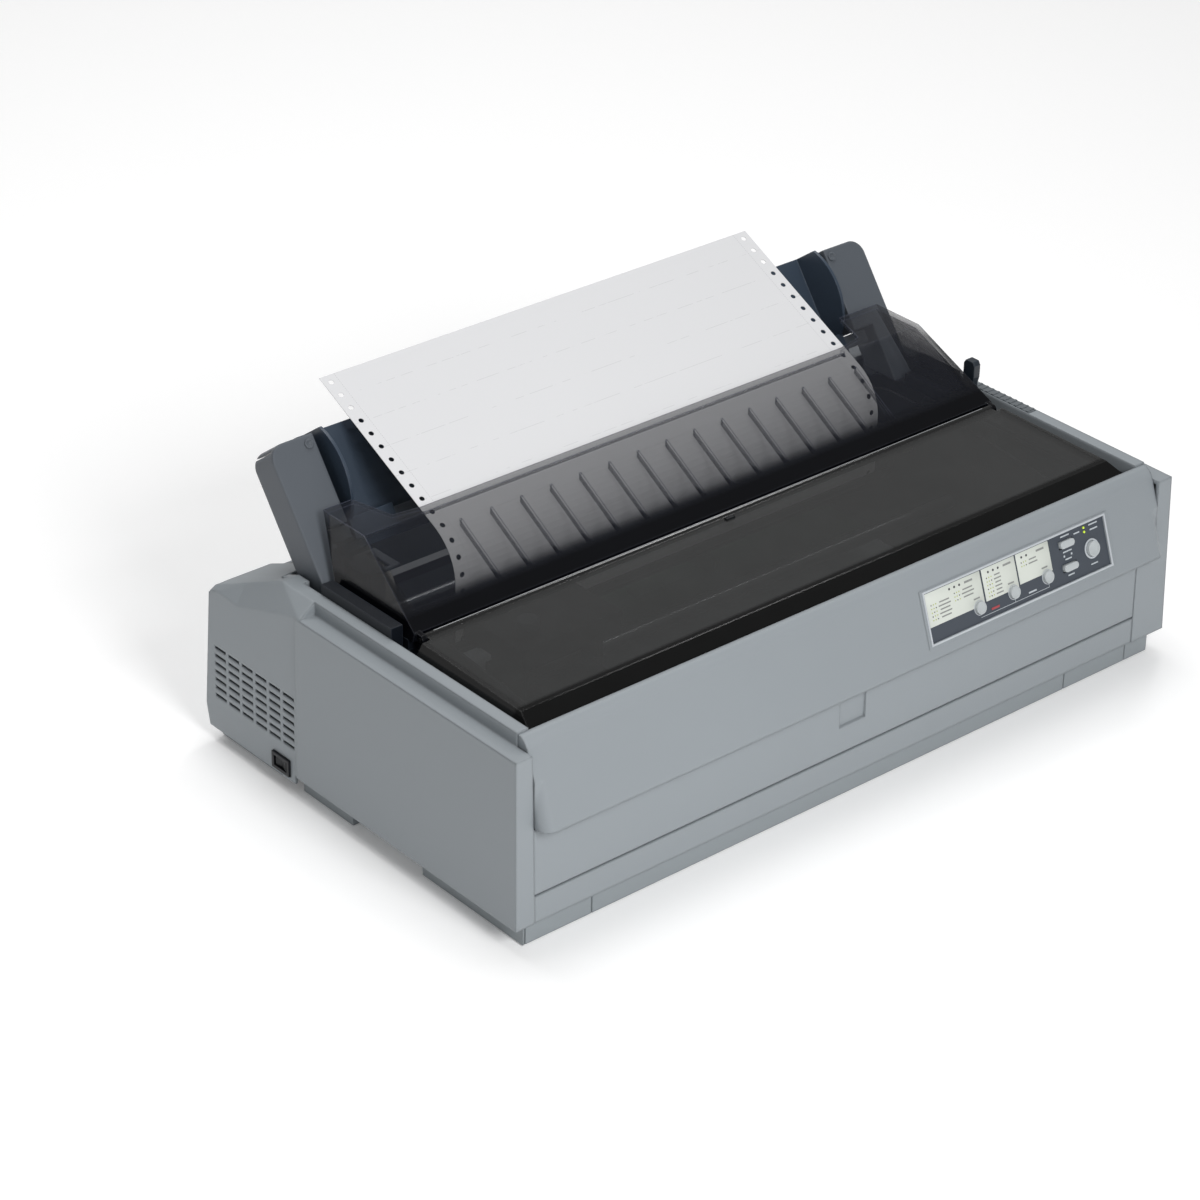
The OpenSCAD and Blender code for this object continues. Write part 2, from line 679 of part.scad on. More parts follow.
module rail_side(slot) {
  difference() {
    union() {
      block(inner_x - 16, inner_x, 22, open_y1 - 22, shoulder_z - 3, shoulder_z + 0.1);
      block(inner_x - 20, inner_x - 10.7, hinge_y + 8, open_y1 - 23, shoulder_z - 3, ledge_z);
      block(inner_x - 9.7, inner_x, slot ? lever_y + 17 : hinge_y + 13, open_y1 - 20,
        shoulder_z - 3, rim_z + 8);
    }
    if (slot)
      block(lever_x - 1.5, lever_x + 8, lever_y - 33, lever_y + 15, shoulder_z - 5, rim_z + 20);
  }
}

module side_rails() place() color(black) {
  rail_side(true);
  mirror([1, 0, 0]) rail_side(false);
}

module front_tray() place() color(black) {
  block(-inner_x, inner_x, open_y0 + 0.5, 60, shoulder_z - 9, shoulder_z - 6);
  block(-inner_x, inner_x, 56, 60, shoulder_z - 20, shoulder_z - 8);
}

module lever_scale() place() color([0.42, 0.44, 0.48]) {
  block(inner_x + 0.8, inner_x + 8.6, lever_y - 55, lever_y + 4, rim_z, rim_z + 0.6);
  for (i = [0 : 9])
    block(inner_x + 0.8, inner_x + 8.6, lever_y - 53.5 + i * 6, lever_y - 51.5 + i * 6,
      rim_z + 0.5, rim_z + 1.2);
}

// ---------------------------------------------------------------- paper guide

step_v = 46;
arm_foot = -2;

module guide_arm() {
  difference() {
    union() {
      on_guide() block(arm_low, arm_out, 0, guide_t, arm_foot, guide_len);
      on_guide() block(arm_in, arm_low + 1, 0, guide_t, step_v, guide_len);
    }
    // Hollow from behind, feet cut level, corner rounded
    on_guide() block(arm_low + wall, arm_out - wall, wall, guide_t + 1, 34, guide_len - wall);
    on_guide() block(arm_in + wall, arm_low + wall + 1, wall, guide_t + 1, step_v + wall,
      guide_len - wall);
    block(arm_in - 5, arm_out + 5, guide_y - 40, guide_y + 60, guide_z - 60, guide_z - 1.4);
    on_guide() difference() {
      block(arm_out - 12, arm_out + 2, -2, guide_t + 2, guide_len - 12, guide_len + 2);
      rod_y(arm_out - 12, -3, guide_t + 3, guide_len - 12, 12);
    }
  }
  // Hinge lug and pin
  on_pivot() rod_x(arm_low + 2, arm_out, 0, 0, 7.5);
  on_pivot() rod_x(arm_out - 1, inner_x + wall - 0.5, 0, 0, 3.5);
}

module paper_guide() place() color(arm_grey) {
  both_sides() guide_arm();
  // Bar that carries the edge guides
  on_guide() block(-arm_low - 1, arm_low + 1, 12, 18, bar_v - 5, bar_v + 5);
}

// Plate under the edge of the sheet, with a curved fence and a slide on the bar
module edge_guide() {
  outer = arm_in - 0.4;
  difference() {
    union() {
      on_guide() block(outer - 87.6, outer, 22, guide_t, 26, guide_len + 2);
      on_guide() block(outer - 44, outer - 6, 8, 22 + eps, bar_v - 8, bar_v + 8);
      on_guide() intersection() {
        rod_x(outer - 9, outer - 6.6, 35, 84, 46);
        block(outer - 10, outer, -20, 22 + eps, bar_v, guide_len + 2);
      }
    }
    on_guide() block(outer - 60, outer + 1, 12 - gap, 18 + gap, bar_v - 5 - gap, bar_v + 5 + gap);
  }
}

module edge_guide_left() place() color(guide_blue) mirror([1, 0, 0]) edge_guide();

module edge_guide_right() place() color(guide_blue) edge_guide();

// ---------------------------------------------------------------- frame

module frame_plate() {
  side_shape(frame_x, frame_x + frame_t, [[60, floor_top], [case_depth - 13, floor_top],
    [case_depth - 13, 128], [case_depth - 29, 136], [open_y1, 140], [open_y1 - 22, shoulder_z - 1],
    [hinge_y - 1, shoulder_z - 1], [62, shoulder_z - 9.5], [60, 100]]);
  block(frame_x - 10, frame_x + eps, 64, case_depth - 17, floor_top, floor_top + 2);
}

module frame_holes() {
  rod_x(frame_x - 1, frame_x + 4, platen_y, platen_z, shaft_r + 3.05);
  rod_x(frame_x - 1, frame_x + 4, tractor_y, tractor_z, square_s * 0.71 + 0.35);
  rod_x(frame_x - 1, frame_x + 4, tractor_y, tractor_bar_z, shaft_r);
  rod_x(frame_x - 1, frame_x + 4, slide_y, slide_z, shaft_r);
}

module frame_left() place() color(steel) mirror([1, 0, 0]) {
  difference() {
    frame_plate();
    frame_holes();
    rod_x(frame_x - 1, frame_x + 4, motor_y, motor_z, 7);
  }
  // Post of the idler gear
  rod_x(frame_x + 1, gear_x + gear_w + 2, idler_y, idler_z, 3);
}

module frame_right() place() color(steel) {
  difference() {
    frame_plate();
    frame_holes();
  }
  // Post of the release lever
  rod_x(frame_x + 1, lever_x + 8, lever_y, lever_z, 4);
}

module cross_beams() place() color(steel) {
  block(-frame_x, frame_x, platen_y + 41.5, platen_y + 53.5, 52, 64);
  block(-frame_x, frame_x, 66, 78, 96, 108);
}

module platen_bushes() place() color(brass) both_sides() difference() {
  union() {
    rod_x(frame_x - 3, frame_x + 5, platen_y, platen_z, shaft_r + 3);
    rod_x(frame_x - 3, frame_x, platen_y, platen_z, shaft_r + 5);
  }
  rod_x(frame_x - 4, frame_x + 6, platen_y, platen_z, shaft_r + 0.05);
}

// ---------------------------------------------------------------- platen and gears

module gear(teeth, phase, bore_r) {
  base_r = gear_m * teeth / 2 * cos(20);
  root_r = gear_m * (teeth / 2 - 1.25);
  flank_r = max(base_r + eps, root_r + eps);
  tip_r = gear_m * (teeth / 2 + 0.85);
  difference() {
    translate([-gear_x - gear_w, 0, 0]) rotate([90, 0, 90]) linear_extrude(gear_w)
      polygon(gear_points(teeth, phase, root_r, flank_r, tip_r, base_r));
    rod_x(-gear_x - gear_w - 1, -gear_x + 1, 0, 0, bore_r);
  }
}

module platen_roller() place() color([0.13, 0.13, 0.14]) difference() {
  rod_x(-frame_x + 28, frame_x - 28, platen_y, platen_z, platen_r);
  rod_x(-frame_x + 27, frame_x - 27, platen_y, platen_z, shaft_r);
}

module platen_shaft() place() color(steel) {
  rod_x(-gear_x - gear_w - 2, half - 8, platen_y, platen_z, shaft_r);
}

module platen_knob() place() color(black) difference() {
  union() {
    rod_x(inner_x + 6, half - 0.6, platen_y, platen_z, knob_r - 1);
    for (i = [0 : 23])
      translate([0, platen_y, platen_z]) rotate([i * 15, 0, 0])
        rod_x(inner_x + 6, half - 1.6, knob_r - 1.2, 0, 1.2);
  }
  rod_x(inner_x + 5, half - 8, platen_y, platen_z, shaft_r);
  difference() {
    rod_x(half - 3, half + 1, platen_y, platen_z, knob_r - 5);
    rod_x(half - 4, half + 2, platen_y, platen_z, 6);
  }
}

module platen_gear() place() color(gear_white) translate([0, platen_y, platen_z]) {
  gear(platen_teeth, 0, shaft_r);
}

module feed_motor() place() color(black) {
  block(-frame_x, -frame_x + 24, motor_y - 21, motor_y + 21, motor_z - 21, motor_z + 21);
  rod_x(-gear_x - gear_w - 1, -frame_x + 1, motor_y, motor_z, 2.5);
}

module motor_pinion() place() color(brass) translate([0, motor_y, motor_z]) {
  gear(pinion_teeth, pinion_phase, 2.55);
}

module idler_gear() place() color(gear_white) translate([0, idler_y, idler_z]) {
  gear(idler_teeth, idler_phase, 3.05);
}

module tractor_gear() place() color(gear_white) translate([0, tractor_y, tractor_z]) {
  difference() {
    gear(tractor_teeth, tractor_phase, 0.5);
    block(-gear_x - gear_w - 1, -gear_x + 1, -square_s / 2, square_s / 2, -square_s / 2,
      square_s / 2);
  }
}

module tractor_shaft() place() color(steel) {
  block(-gear_x - gear_w - 1, frame_x + 6, tractor_y - square_s / 2, tractor_y + square_s / 2,
    tractor_z - square_s / 2, tractor_z + square_s / 2);
}

module tractor_bar() place() color(steel) {
  rod_x(-frame_x - 3, frame_x + 3, tractor_y, tractor_bar_z, shaft_r);
}

// ---------------------------------------------------------------- tractors

// Right-hand tractor body about its hole column: the wheel turns beside it
module tractor_body() {
  difference() {
    union() {
      block(5, 17, tractor_y - 15, tractor_y + 15, tractor_bar_z - 8, tractor_z + 13);
      for (y = [tractor_y - 15, tractor_y + 11])
        block(13, 18, y, y + 4, tractor_z + 8, lid_z + 2);
    }
    rod_x(4, 18, tractor_y, tractor_z, 9.05);
    rod_x(4, 18, tractor_y, tractor_bar_z, shaft_r + 0.05);
    rod_y(16, tractor_y - 16, tractor_y + 16, lid_z, 1.25);
  }
}

module tractor_left() place() color(black) translate([sheet_x - hole_x, 0, 0])
  mirror([1, 0, 0]) tractor_body();

module tractor_right() place() color(black) translate([sheet_x + hole_x, 0, 0]) tractor_body();

module pin_wheel() {
  difference() {
    union() {
      rod_x(-4, 4.3, tractor_y, tractor_z, pin_wheel_r - 0.4);
      rod_x(4, 17, tractor_y, tractor_z, 9);
      for (i = [0 : 7])
        translate([0, tractor_y, tractor_z]) rotate([i * 45 + 22.5, 0, 0])
          rod_z(0, 0, pin_wheel_r - 4, pin_wheel_r + 1, 1.5);
    }
    block(-5, 18, tractor_y - square_s / 2 - gap, tractor_y + square_s / 2 + gap,
      tractor_z - square_s / 2 - gap, tractor_z + square_s / 2 + gap);
  }
}

module sprocket_left() place() color(gear_white) translate([sheet_x - hole_x, 0, 0])
  mirror([1, 0, 0]) pin_wheel();

module sprocket_right() place() color(gear_white) translate([sheet_x + hole_x, 0, 0]) pin_wheel();

module tractor_lid() {
  difference() {
    union() {
      block(-9, 12, tractor_y - 15, tractor_y + 15, lid_z, lid_z + 2);
      rod_y(16, tractor_y - 10.6, tractor_y + 10.6, lid_z, 2);
      block(11.5, 16, tractor_y - 10.6, tractor_y + 10.6, lid_z, lid_z + 2);
      rod_y(16, tractor_y - 14.5, tractor_y + 14.5, lid_z, 1.2);
    }
    block(-2.2, 2.2, tractor_y - 12, tractor_y + 12, lid_z - 1, lid_z + 3);
  }
}

module tractor_lid_left() place() color(arm_grey) translate([sheet_x - hole_x, 0, 0])
  mirror([1, 0, 0]) tractor_lid();

module tractor_lid_right() place() color(arm_grey) translate([sheet_x + hole_x, 0, 0])
  tractor_lid();

// ---------------------------------------------------------------- carriage

module carriage() place() color(black) translate([carriage_x, 0, 0]) difference() {
  union() {
    block(-carriage_w / 2, carriage_w / 2, slide_y - 23, slide_y + 21, slide_z - 9, slide_z + 12);
    block(-carriage_w / 2 + 8, carriage_w / 2 - 8, slide_y - 55, slide_y - 22, slide_z + 4.3,
      slide_z + 10);
    both_sides() block(carriage_w / 2 - 4, carriage_w / 2, slide_y - 23, slide_y + 15,
      slide_z + 11, slide_z + 30);
  }
  rod_x(-carriage_w, carriage_w, slide_y, slide_z, shaft_r + 0.05);
}

module print_head() place() color(steel) translate([carriage_x, 0, 0]) {
  block(-20, 20, slide_y - 17, slide_y + 19, slide_z + 12, slide_z + 28);
  block(-8, 8, slide_y + 18, head_y - 3, platen_z - 6, platen_z + 6);
  block(-6, 6, head_y - 4, head_y, platen_z - 3.5, platen_z + 6);
  for (i = [0 : 5])
    block(-20, 20, slide_y - 16 + i * 5, slide_y - 13.5 + i * 5, slide_z + 27.5, slide_z + 29.5);
}

module ribbon_cartridge() place() color(black) translate([carriage_x, 0, 0]) difference() {
  union() {
    block(-45, 45, slide_y - 31, slide_y + 17, slide_z + 30.3, slide_z + 48);
    both_sides() block(38, 45, slide_y + 16, head_y + 1.3, platen_z - 3, slide_z + 48);
    block(-40, 40, head_y + 0.8, head_y + 1.3, platen_z - 3, platen_z + 6);
  }
  rod_z(-20, slide_y - 7, slide_z + 40, slide_z + 49, 3.05);
}

module ribbon_knob() place() color(arm_grey) translate([carriage_x - 20, slide_y - 7, 0]) {
  rod_z(0, 0, slide_z + 48.3, slide_z + 54, 8);
  rod_z(0, 0, slide_z + 40.5, slide_z + 48.4, 3);
}

module carriage_rails() place() color(steel) {
  rod_x(-frame_x - 3, frame_x + 3, slide_y, slide_z, shaft_r);
  block(-frame_x, frame_x, slide_y - 53, slide_y - 43, slide_z + 1, slide_z + 4);
  block(-frame_x, frame_x, slide_y - 53, slide_y - 51, slide_z - 8, slide_z + 2);
}

module carriage_belt() place() color(black) difference() {
  union() {
    block(-pulley_x, pulley_x, belt_y - pulley_r - 1.5, belt_y + pulley_r + 1.5, belt_z, belt_z + 4);
    rod_z(-pulley_x, belt_y, belt_z, belt_z + 4, pulley_r + 1.5);
    rod_z(pulley_x, belt_y, belt_z, belt_z + 4, pulley_r + 1.5);
  }
  block(-pulley_x, pulley_x, belt_y - pulley_r - 0.3, belt_y + pulley_r + 0.3, belt_z - 1,
    belt_z + 5);
  rod_z(-pulley_x, belt_y, belt_z - 1, belt_z + 5, pulley_r + 0.3);
  rod_z(pulley_x, belt_y, belt_z - 1, belt_z + 5, pulley_r + 0.3);
}

module carriage_motor() place() color(steel) {
  rod_z(-pulley_x, belt_y, floor_top, belt_z - 6, 14.5);
  rod_z(-pulley_x, belt_y, belt_z - 7, belt_z + 7, 3);
}

module pulley(x) {
  difference() {
    rod_z(x, belt_y, belt_z - 2, belt_z + 6, pulley_r);
    rod_z(x, belt_y, belt_z - 3, belt_z + 7, 3.05);
  }
}

module drive_pulley() place() color(brass) pulley(-pulley_x);

module idler_pulley() place() color(gear_white) pulley(pulley_x);

module release_lever() place() color([0.3, 0.31, 0.34]) difference() {
  union() {
    side_shape(lever_x, lever_x + 6.5, [[lever_y - 5, lever_z], [lever_y - 4, 164],
      [lever_y - 5.5, 170], [lever_y - 5.5, 180], [lever_y - 3.5, 183], [lever_y + 3.5, 183],
      [lever_y + 5.5, 180], [lever_y + 5.5, 170], [lever_y + 4, 164], [lever_y + 5, lever_z]]);
    rod_x(lever_x, lever_x + 6.5, lever_y, lever_z, 9);
  }
  rod_x(lever_x - 1, lever_x + 7.5, lever_y, lever_z, 4.05);
}

// ---------------------------------------------------------------- electronics and paper path

module main_board() place() color(board_green) {
  block(-100, frame_x - 15, case_depth - 107, case_depth - 9, floor_top + 8, floor_top + 9.6);
  for (x = [-60, 20])
    block(x, x + 52, open_y1, open_y1 + 14, floor_top + 9.5, floor_top + 13);
  block(20, 60, open_y1 + 38, open_y1 + 50, floor_top + 9.5, floor_top + 13);
  block(90, 96, open_y1 - 7, open_y1 + 63, floor_top + 9.5, floor_top + 22);
}

module power_supply() place() color(steel) {
  block(-half + 8, -frame_x - 15, case_depth - 69, case_depth - 17, floor_top, 100);
}

module rear_sockets() place() color(black) {
  difference() {
    block(inlet_x - 14, inlet_x + 14, case_depth - 17, case_depth + 1.5, 40, 60);
    block(inlet_x - 11, inlet_x + 11, case_depth - 8, case_depth + 3, 43, 57);
  }
  difference() {
    union() {
      block(port_x - 30, port_x + 30, case_depth - 14, case_depth + 1.5, 38, 54);
      block(port_x - 30, port_x + 30, case_depth - 14, case_depth - 6, floor_top + 9.6, 39);
    }
    block(port_x - 26, port_x + 26, case_depth - 6, case_depth + 3, 41, 51);
  }
}

module paper_pan() place() color(black) {
  difference() {
    rod_x(-pan_x, pan_x, platen_y, platen_z, wrap_r + 2.8);
    rod_x(-pan_x - 1, pan_x + 1, platen_y, platen_z, wrap_r + 0.8);
    block(-pan_x - 2, pan_x + 2, platen_y - 30, platen_y + 30, platen_z - 4, platen_z + 30);
  }
  side_shape(-pan_x, pan_x, [[platen_y, platen_z - wrap_r - 1.4],
    [platen_y + 6, platen_z - wrap_r - 1.4], [platen_y + 47.5, 66], [platen_y + 53.5, 66],
    [platen_y + 53.5, 64], [platen_y + 42.5, 64], [platen_y + 2, platen_z - wrap_r - 4.5]]);
}

// A point of the sheet's upper or lower face
function sheet_face(s, off) = let (p = sheet_at(s)) [p[0] + off * cos(p[2]), p[1] + off * sin(p[2])];

sheet_steps = [0, for (i = [0 : 10]) sheet_flat + bend_len * i / 10,
  for (i = [0 : 12]) paper_len - wrap_r * PI * wrap_deg / 180 * (1 - i / 12)];

module paper_sheet() place() color([0.95, 0.95, 0.92]) translate([sheet_x, 0, 0]) difference() {
  side_shape(-paper_w / 2, paper_w / 2, [for (s = sheet_steps) sheet_face(s, sheet_t / 2),
    for (i = [len(sheet_steps) - 1 : -1 : 0]) sheet_face(sheet_steps[i], -sheet_t / 2)]);
  for (k = [0 : round(paper_len / hole_pitch) - 1]) {
    p = sheet_at(hole_pitch * (k + 0.5));
    for (x = [-hole_x, hole_x])
      translate([x, p[0], p[1]]) rotate([p[2] - 90, 0, 0])
        cylinder(h = 3, r = hole_d / 2, center = true, $fn = 24);
  }
}

base_pan();
rubber_feet();
upper_case();
front_strip();
front_panel();
fascia();
control_label();
panel_leds();
panel_board();
button_1();
button_2();
button_3();
button_4();
button_5();
button_6();
switch_frame();
power_rocker();
front_cover();
rear_shield();
side_rails();
front_tray();
lever_scale();
paper_guide();
edge_guide_left();
edge_guide_right();
frame_left();
frame_right();
cross_beams();
platen_bushes();
platen_roller();
platen_shaft();
platen_knob();
platen_gear();
feed_motor();
motor_pinion();
idler_gear();
tractor_gear();
tractor_shaft();
tractor_bar();
tractor_left();
tractor_right();
sprocket_left();
sprocket_right();
tractor_lid_left();
tractor_lid_right();
carriage();
print_head();
ribbon_cartridge();
ribbon_knob();
carriage_rails();
carriage_belt();
carriage_motor();
drive_pulley();
idler_pulley();
release_lever();
main_board();
power_supply();
rear_sockets();
paper_pan();
paper_sheet();
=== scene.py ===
"""Looks of a wide-carriage dot matrix printer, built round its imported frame."""

import logging
import math
from collections.abc import Callable, Iterable, Sequence
from dataclasses import dataclass, field
from enum import Enum

import bpy
from mathutils import Matrix, Vector


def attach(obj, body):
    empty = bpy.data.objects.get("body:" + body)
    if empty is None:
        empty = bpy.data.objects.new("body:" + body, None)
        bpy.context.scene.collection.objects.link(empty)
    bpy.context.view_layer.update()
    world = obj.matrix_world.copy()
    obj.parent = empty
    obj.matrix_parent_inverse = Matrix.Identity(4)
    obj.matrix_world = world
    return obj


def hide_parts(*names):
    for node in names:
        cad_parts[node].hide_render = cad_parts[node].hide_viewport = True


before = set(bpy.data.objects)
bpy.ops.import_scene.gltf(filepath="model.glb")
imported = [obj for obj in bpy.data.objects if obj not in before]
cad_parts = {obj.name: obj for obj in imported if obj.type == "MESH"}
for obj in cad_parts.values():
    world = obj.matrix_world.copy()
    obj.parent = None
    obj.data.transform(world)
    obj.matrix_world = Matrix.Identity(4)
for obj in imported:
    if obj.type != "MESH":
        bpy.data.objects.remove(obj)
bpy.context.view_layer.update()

LOG = logging.getLogger("printer")
MM = 0.001

# Places and sizes of the case, in millimetres
FRONT_Y = -170.7
REAR_Y = 351.0
REAR_BEND_Z = 29.0
REAR_LEAN_IN = 6.0
REAR_LEAN_HEIGHT = 92.9
FASCIA_REACH = 10.8
FASCIA_RISE_BACK = 8.3
FASCIA_HEIGHT = 52.3
FASCIA_Z = 92.0
FASCIA_SLOPE = math.atan((FASCIA_RISE_BACK + FASCIA_REACH) / FASCIA_HEIGHT)
GUIDE_LEAN = math.radians(36.6)
GUIDE_Y = 243.7
GUIDE_Z = 149.4
BIG_BUTTON_R = 6.0

# The loaded form, in metres
SHEET_TILT = math.radians(25.97)
SHEET_SHIFT = 0.00307
RULE_PITCH = 0.0127
TEAR_LINE = 0.1905

# Shared strengths of the surface patterns
RELIEF = 0.0002
BROAD_SCALE = 9.0
EDGE_GAIN = 9.0
# Painted shade: how much the smoked covers' border is darkened.
BORDER_PAINTED_SHADE = 0.86
SLANT_OPACITY = 0.45
RIM_OPACITY = 0.97
COAT_ROUGHNESS = 0.06

Colour = tuple[float, float, float]
Point = tuple[float, float, float]


def row(x: float, y: float, z: float) -> Vector:
    """Turns a place measured on the case, in millimetres, into the frame's metres.

    Args:
        x: Distance to the right of the middle.
        y: Distance behind the face of the front columns.
        z: Height above the table.

    Returns:
        The point in metres.
    """
    return Vector((x, y + FRONT_Y, z)) * MM


def fascia_matrix(x: float, v: float, out: float = 0.0) -> Matrix:
    """Places a piece on the fascia: its z stands out of the face and its y runs up it.

    Args:
        x: Distance to the right of the middle, in millimetres.
        v: Distance up the fascia from its lower edge, in millimetres.
        out: Distance in front of the face, in millimetres.

    Returns:
        The placing matrix, in metres.
    """
    sin, cos = math.sin(FASCIA_SLOPE), math.cos(FASCIA_SLOPE)
    origin = row(x, -FASCIA_REACH + v * sin - out * cos, FASCIA_Z + v * cos + out * sin)
    turn = Matrix(((1, 0, 0), (0, sin, -cos), (0, cos, sin))).to_4x4()
    return Matrix.Translation(origin) @ turn


def guide_matrix(x: float, v: float, depth: float = 0.0) -> Matrix:
    """Places a piece on the guide arms: its z stands out of their front and its y runs up them.

    Args:
        x: Distance to the right of the middle, in millimetres.
        v: Distance up the arm from its foot, in millimetres.
        depth: Distance behind the arm's front face, in millimetres.

    Returns:
        The placing matrix, in metres.
    """
    sin, cos = math.sin(GUIDE_LEAN), math.cos(GUIDE_LEAN)
    origin = row(x, GUIDE_Y + v * sin + depth * cos, GUIDE_Z + v * cos - depth * sin)
    turn = Matrix(((1, 0, 0), (0, sin, -cos), (0, cos, sin))).to_4x4()
    return Matrix.Translation(origin) @ turn


class Slot(Enum):
    """Material slots of the record."""

    CASE = "case_plastic"
    PANEL = "panel_plastic"
    ARM = "arm_plastic"
    SMOKED = "smoked_plastic"
    BLACK = "black_plastic"
    BUTTON = "button_plastic"
    LABEL = "label_film"
    STEEL = "steel"
    BOARD = "circuit_board"


class Grain(Enum):
    """Kinds of surface pattern that a finish can carry."""

    MOULDED = "moulded_grain"
    BRUSHED = "brushed_lines"
    FIBRE = "paper_fibre"


@dataclass(frozen=True)
class Border:
    """Where a smoked cover is made solid and dark as painted shade: lengths in metres, on the
    object's own axes.
    """

    half_width: float
    front: float
    back: float
    low: float
    side_strength: float = 1.0
    soft: float = 0.003


@dataclass(frozen=True)
class Finish:
    """How a surface looks: lengths are in metres, scales are per metre."""

    name: str
    colour: Colour
    roughness: float = 0.5
    grain: Grain = Grain.MOULDED
    scale: float = 1400.0
    depth: float = 0.12
    tint: float = 0.05
    spread: float = 0.08
    edge: float = 0.0006
    metallic: float = 0.0
    coat: float = 0.0
    alpha: float = 1.0
    glow: float = 0.0
    specular: float = 0.5
    # Painted highlight: how much lighter the edges are painted, standing in for light caught on
    # rounded edges.
    edge_highlight: float = 0.06
    border: Border | None = None


# In the finishes below, the amount that lightens the edges is a painted highlight.
CASE = Finish("case_grey", (0.250, 0.275, 0.294), 0.50, depth=0.10, edge=0.0034, edge_highlight=0.14)
CASE_LOW = Finish("skirt_grey", (0.240, 0.266, 0.282), 0.58, depth=0.10, edge=0.0016)
ARM = Finish("arm_slate", (0.086, 0.098, 0.114), 0.46, depth=0.08, edge=0.0026, specular=0.4,
             edge_highlight=0.3)
GUIDE_BLUE = Finish("guide_blue", (0.034, 0.050, 0.074), 0.38, depth=0.05, edge=0.0010,
                    edge_highlight=0.5)
# Painted shade: the covers' borders are darkened and made solid, standing in for the shade behind
# them; on the shield the dark lower band hides the sheet's foot.
COVER_BORDER = Border(half_width=0.2735, front=-0.1255, back=-0.0250, low=0.0)
SHIELD_BORDER = Border(half_width=0.2625, front=-1.0, back=1.0, low=0.1715,
                       side_strength=0.78, soft=0.005)
SMOKE = Finish("smoked_cover", (0.034, 0.035, 0.035), 0.12, scale=55.0, depth=0.004, tint=0.3,
               spread=0.08, edge=0.0012, alpha=0.50, specular=0.15, coat=0.9, edge_highlight=1.5,
               border=COVER_BORDER)
SMOKE_CLEAR = Finish("smoked_shield", (0.017, 0.019, 0.027), 0.12, scale=55.0, depth=0.004,
                     tint=0.3, spread=0.08, edge=0.0012, alpha=0.24, specular=0.15, coat=0.5,
                     edge_highlight=5.0, border=SHIELD_BORDER)
# Painted highlight: a pale strip along the hinge stands in for the light caught on its gloss.
HINGE_PAINTED_HIGHLIGHT = Finish("polished_painted_highlight", (0.30, 0.31, 0.32), 0.18, depth=0.01, edge=0.0001, coat=0.6)
BLACK = Finish("black_plastic", (0.008, 0.009, 0.011), 0.42, depth=0.08, edge=0.0006,
               specular=0.3)
TRIM = Finish("trim_black", (0.007, 0.009, 0.013), 0.30, depth=0.05, edge=0.0008,
              specular=0.35, edge_highlight=2.5)
LEVER = Finish("lever_slate", (0.017, 0.024, 0.033), 0.34, depth=0.05, edge=0.0010, edge_highlight=1.0)
SCALE = Finish("scale_grey", (0.110, 0.124, 0.136), 0.5, depth=0.06, edge=0.0003)
BUTTON = Finish("button_grey", (0.43, 0.46, 0.47), 0.32, depth=0.03, edge=0.0004, coat=0.15)
SLATE = Finish("label_slate", (0.046, 0.056, 0.072), 0.40, scale=900.0, depth=0.02, edge=0.0002)
CREAM = Finish("label_cream", (0.60, 0.63, 0.58), 0.42, scale=900.0, depth=0.01, tint=0.02,
               edge=0.0001)
BEAD = Finish("label_bead", (0.46, 0.49, 0.52), 0.38, depth=0.04, edge=0.0003)
INK = Finish("ink_dark", (0.05, 0.05, 0.055), 0.5, depth=0.01, edge=0.0001)
INK_GREEN = Finish("ink_green", (0.40, 0.45, 0.12), 0.5, depth=0.01, edge=0.0001)
INK_PALE = Finish("ink_pale", (0.46, 0.50, 0.53), 0.5, depth=0.01, edge=0.0001)
INK_GREY = Finish("ink_grey", (0.24, 0.25, 0.24), 0.5, depth=0.01, edge=0.0001)
INK_RED = Finish("ink_red", (0.34, 0.05, 0.06), 0.5, depth=0.01, edge=0.0001)
LED = Finish("led_green", (0.45, 0.60, 0.05), 0.2, depth=0.0, edge=0.0002, coat=0.5, glow=0.5)
PAPER = Finish("form_paper", (0.640, 0.643, 0.655), 0.75, Grain.FIBRE, 900.0, 0.10, 0.02, 0.05,
               0.00005, edge_highlight=0.0)
STEEL = Finish("plated_steel", (0.24, 0.25, 0.26), 0.34, Grain.BRUSHED, 500.0, 0.06, 0.12, 0.1,
               0.0004, metallic=1.0)
# Painted shade: a darkened copy of the steel for the frame, standing in for the shade inside the
# case.
STEEL_SHADED = Finish("frame_steel_shaded", (0.035, 0.038, 0.042), 0.42, Grain.BRUSHED, 400.0, 0.05, 0.15,
                    0.1, 0.0004, metallic=0.6)
BRASS = Finish("turned_brass", (0.40, 0.29, 0.11), 0.30, Grain.BRUSHED, 700.0, 0.05, 0.1, 0.08,
               0.0003, metallic=1.0)
GEAR = Finish("gear_nylon", (0.50, 0.49, 0.45), 0.42, depth=0.04, edge=0.0002)
RUBBER = Finish("platen_rubber", (0.014, 0.014, 0.016), 0.62, scale=2200.0, depth=0.18,
                edge=0.0008, specular=0.3)
BOARD = Finish("green_board", (0.014, 0.060, 0.032), 0.36, scale=300.0, depth=0.03, tint=0.25,
               edge=0.0003)


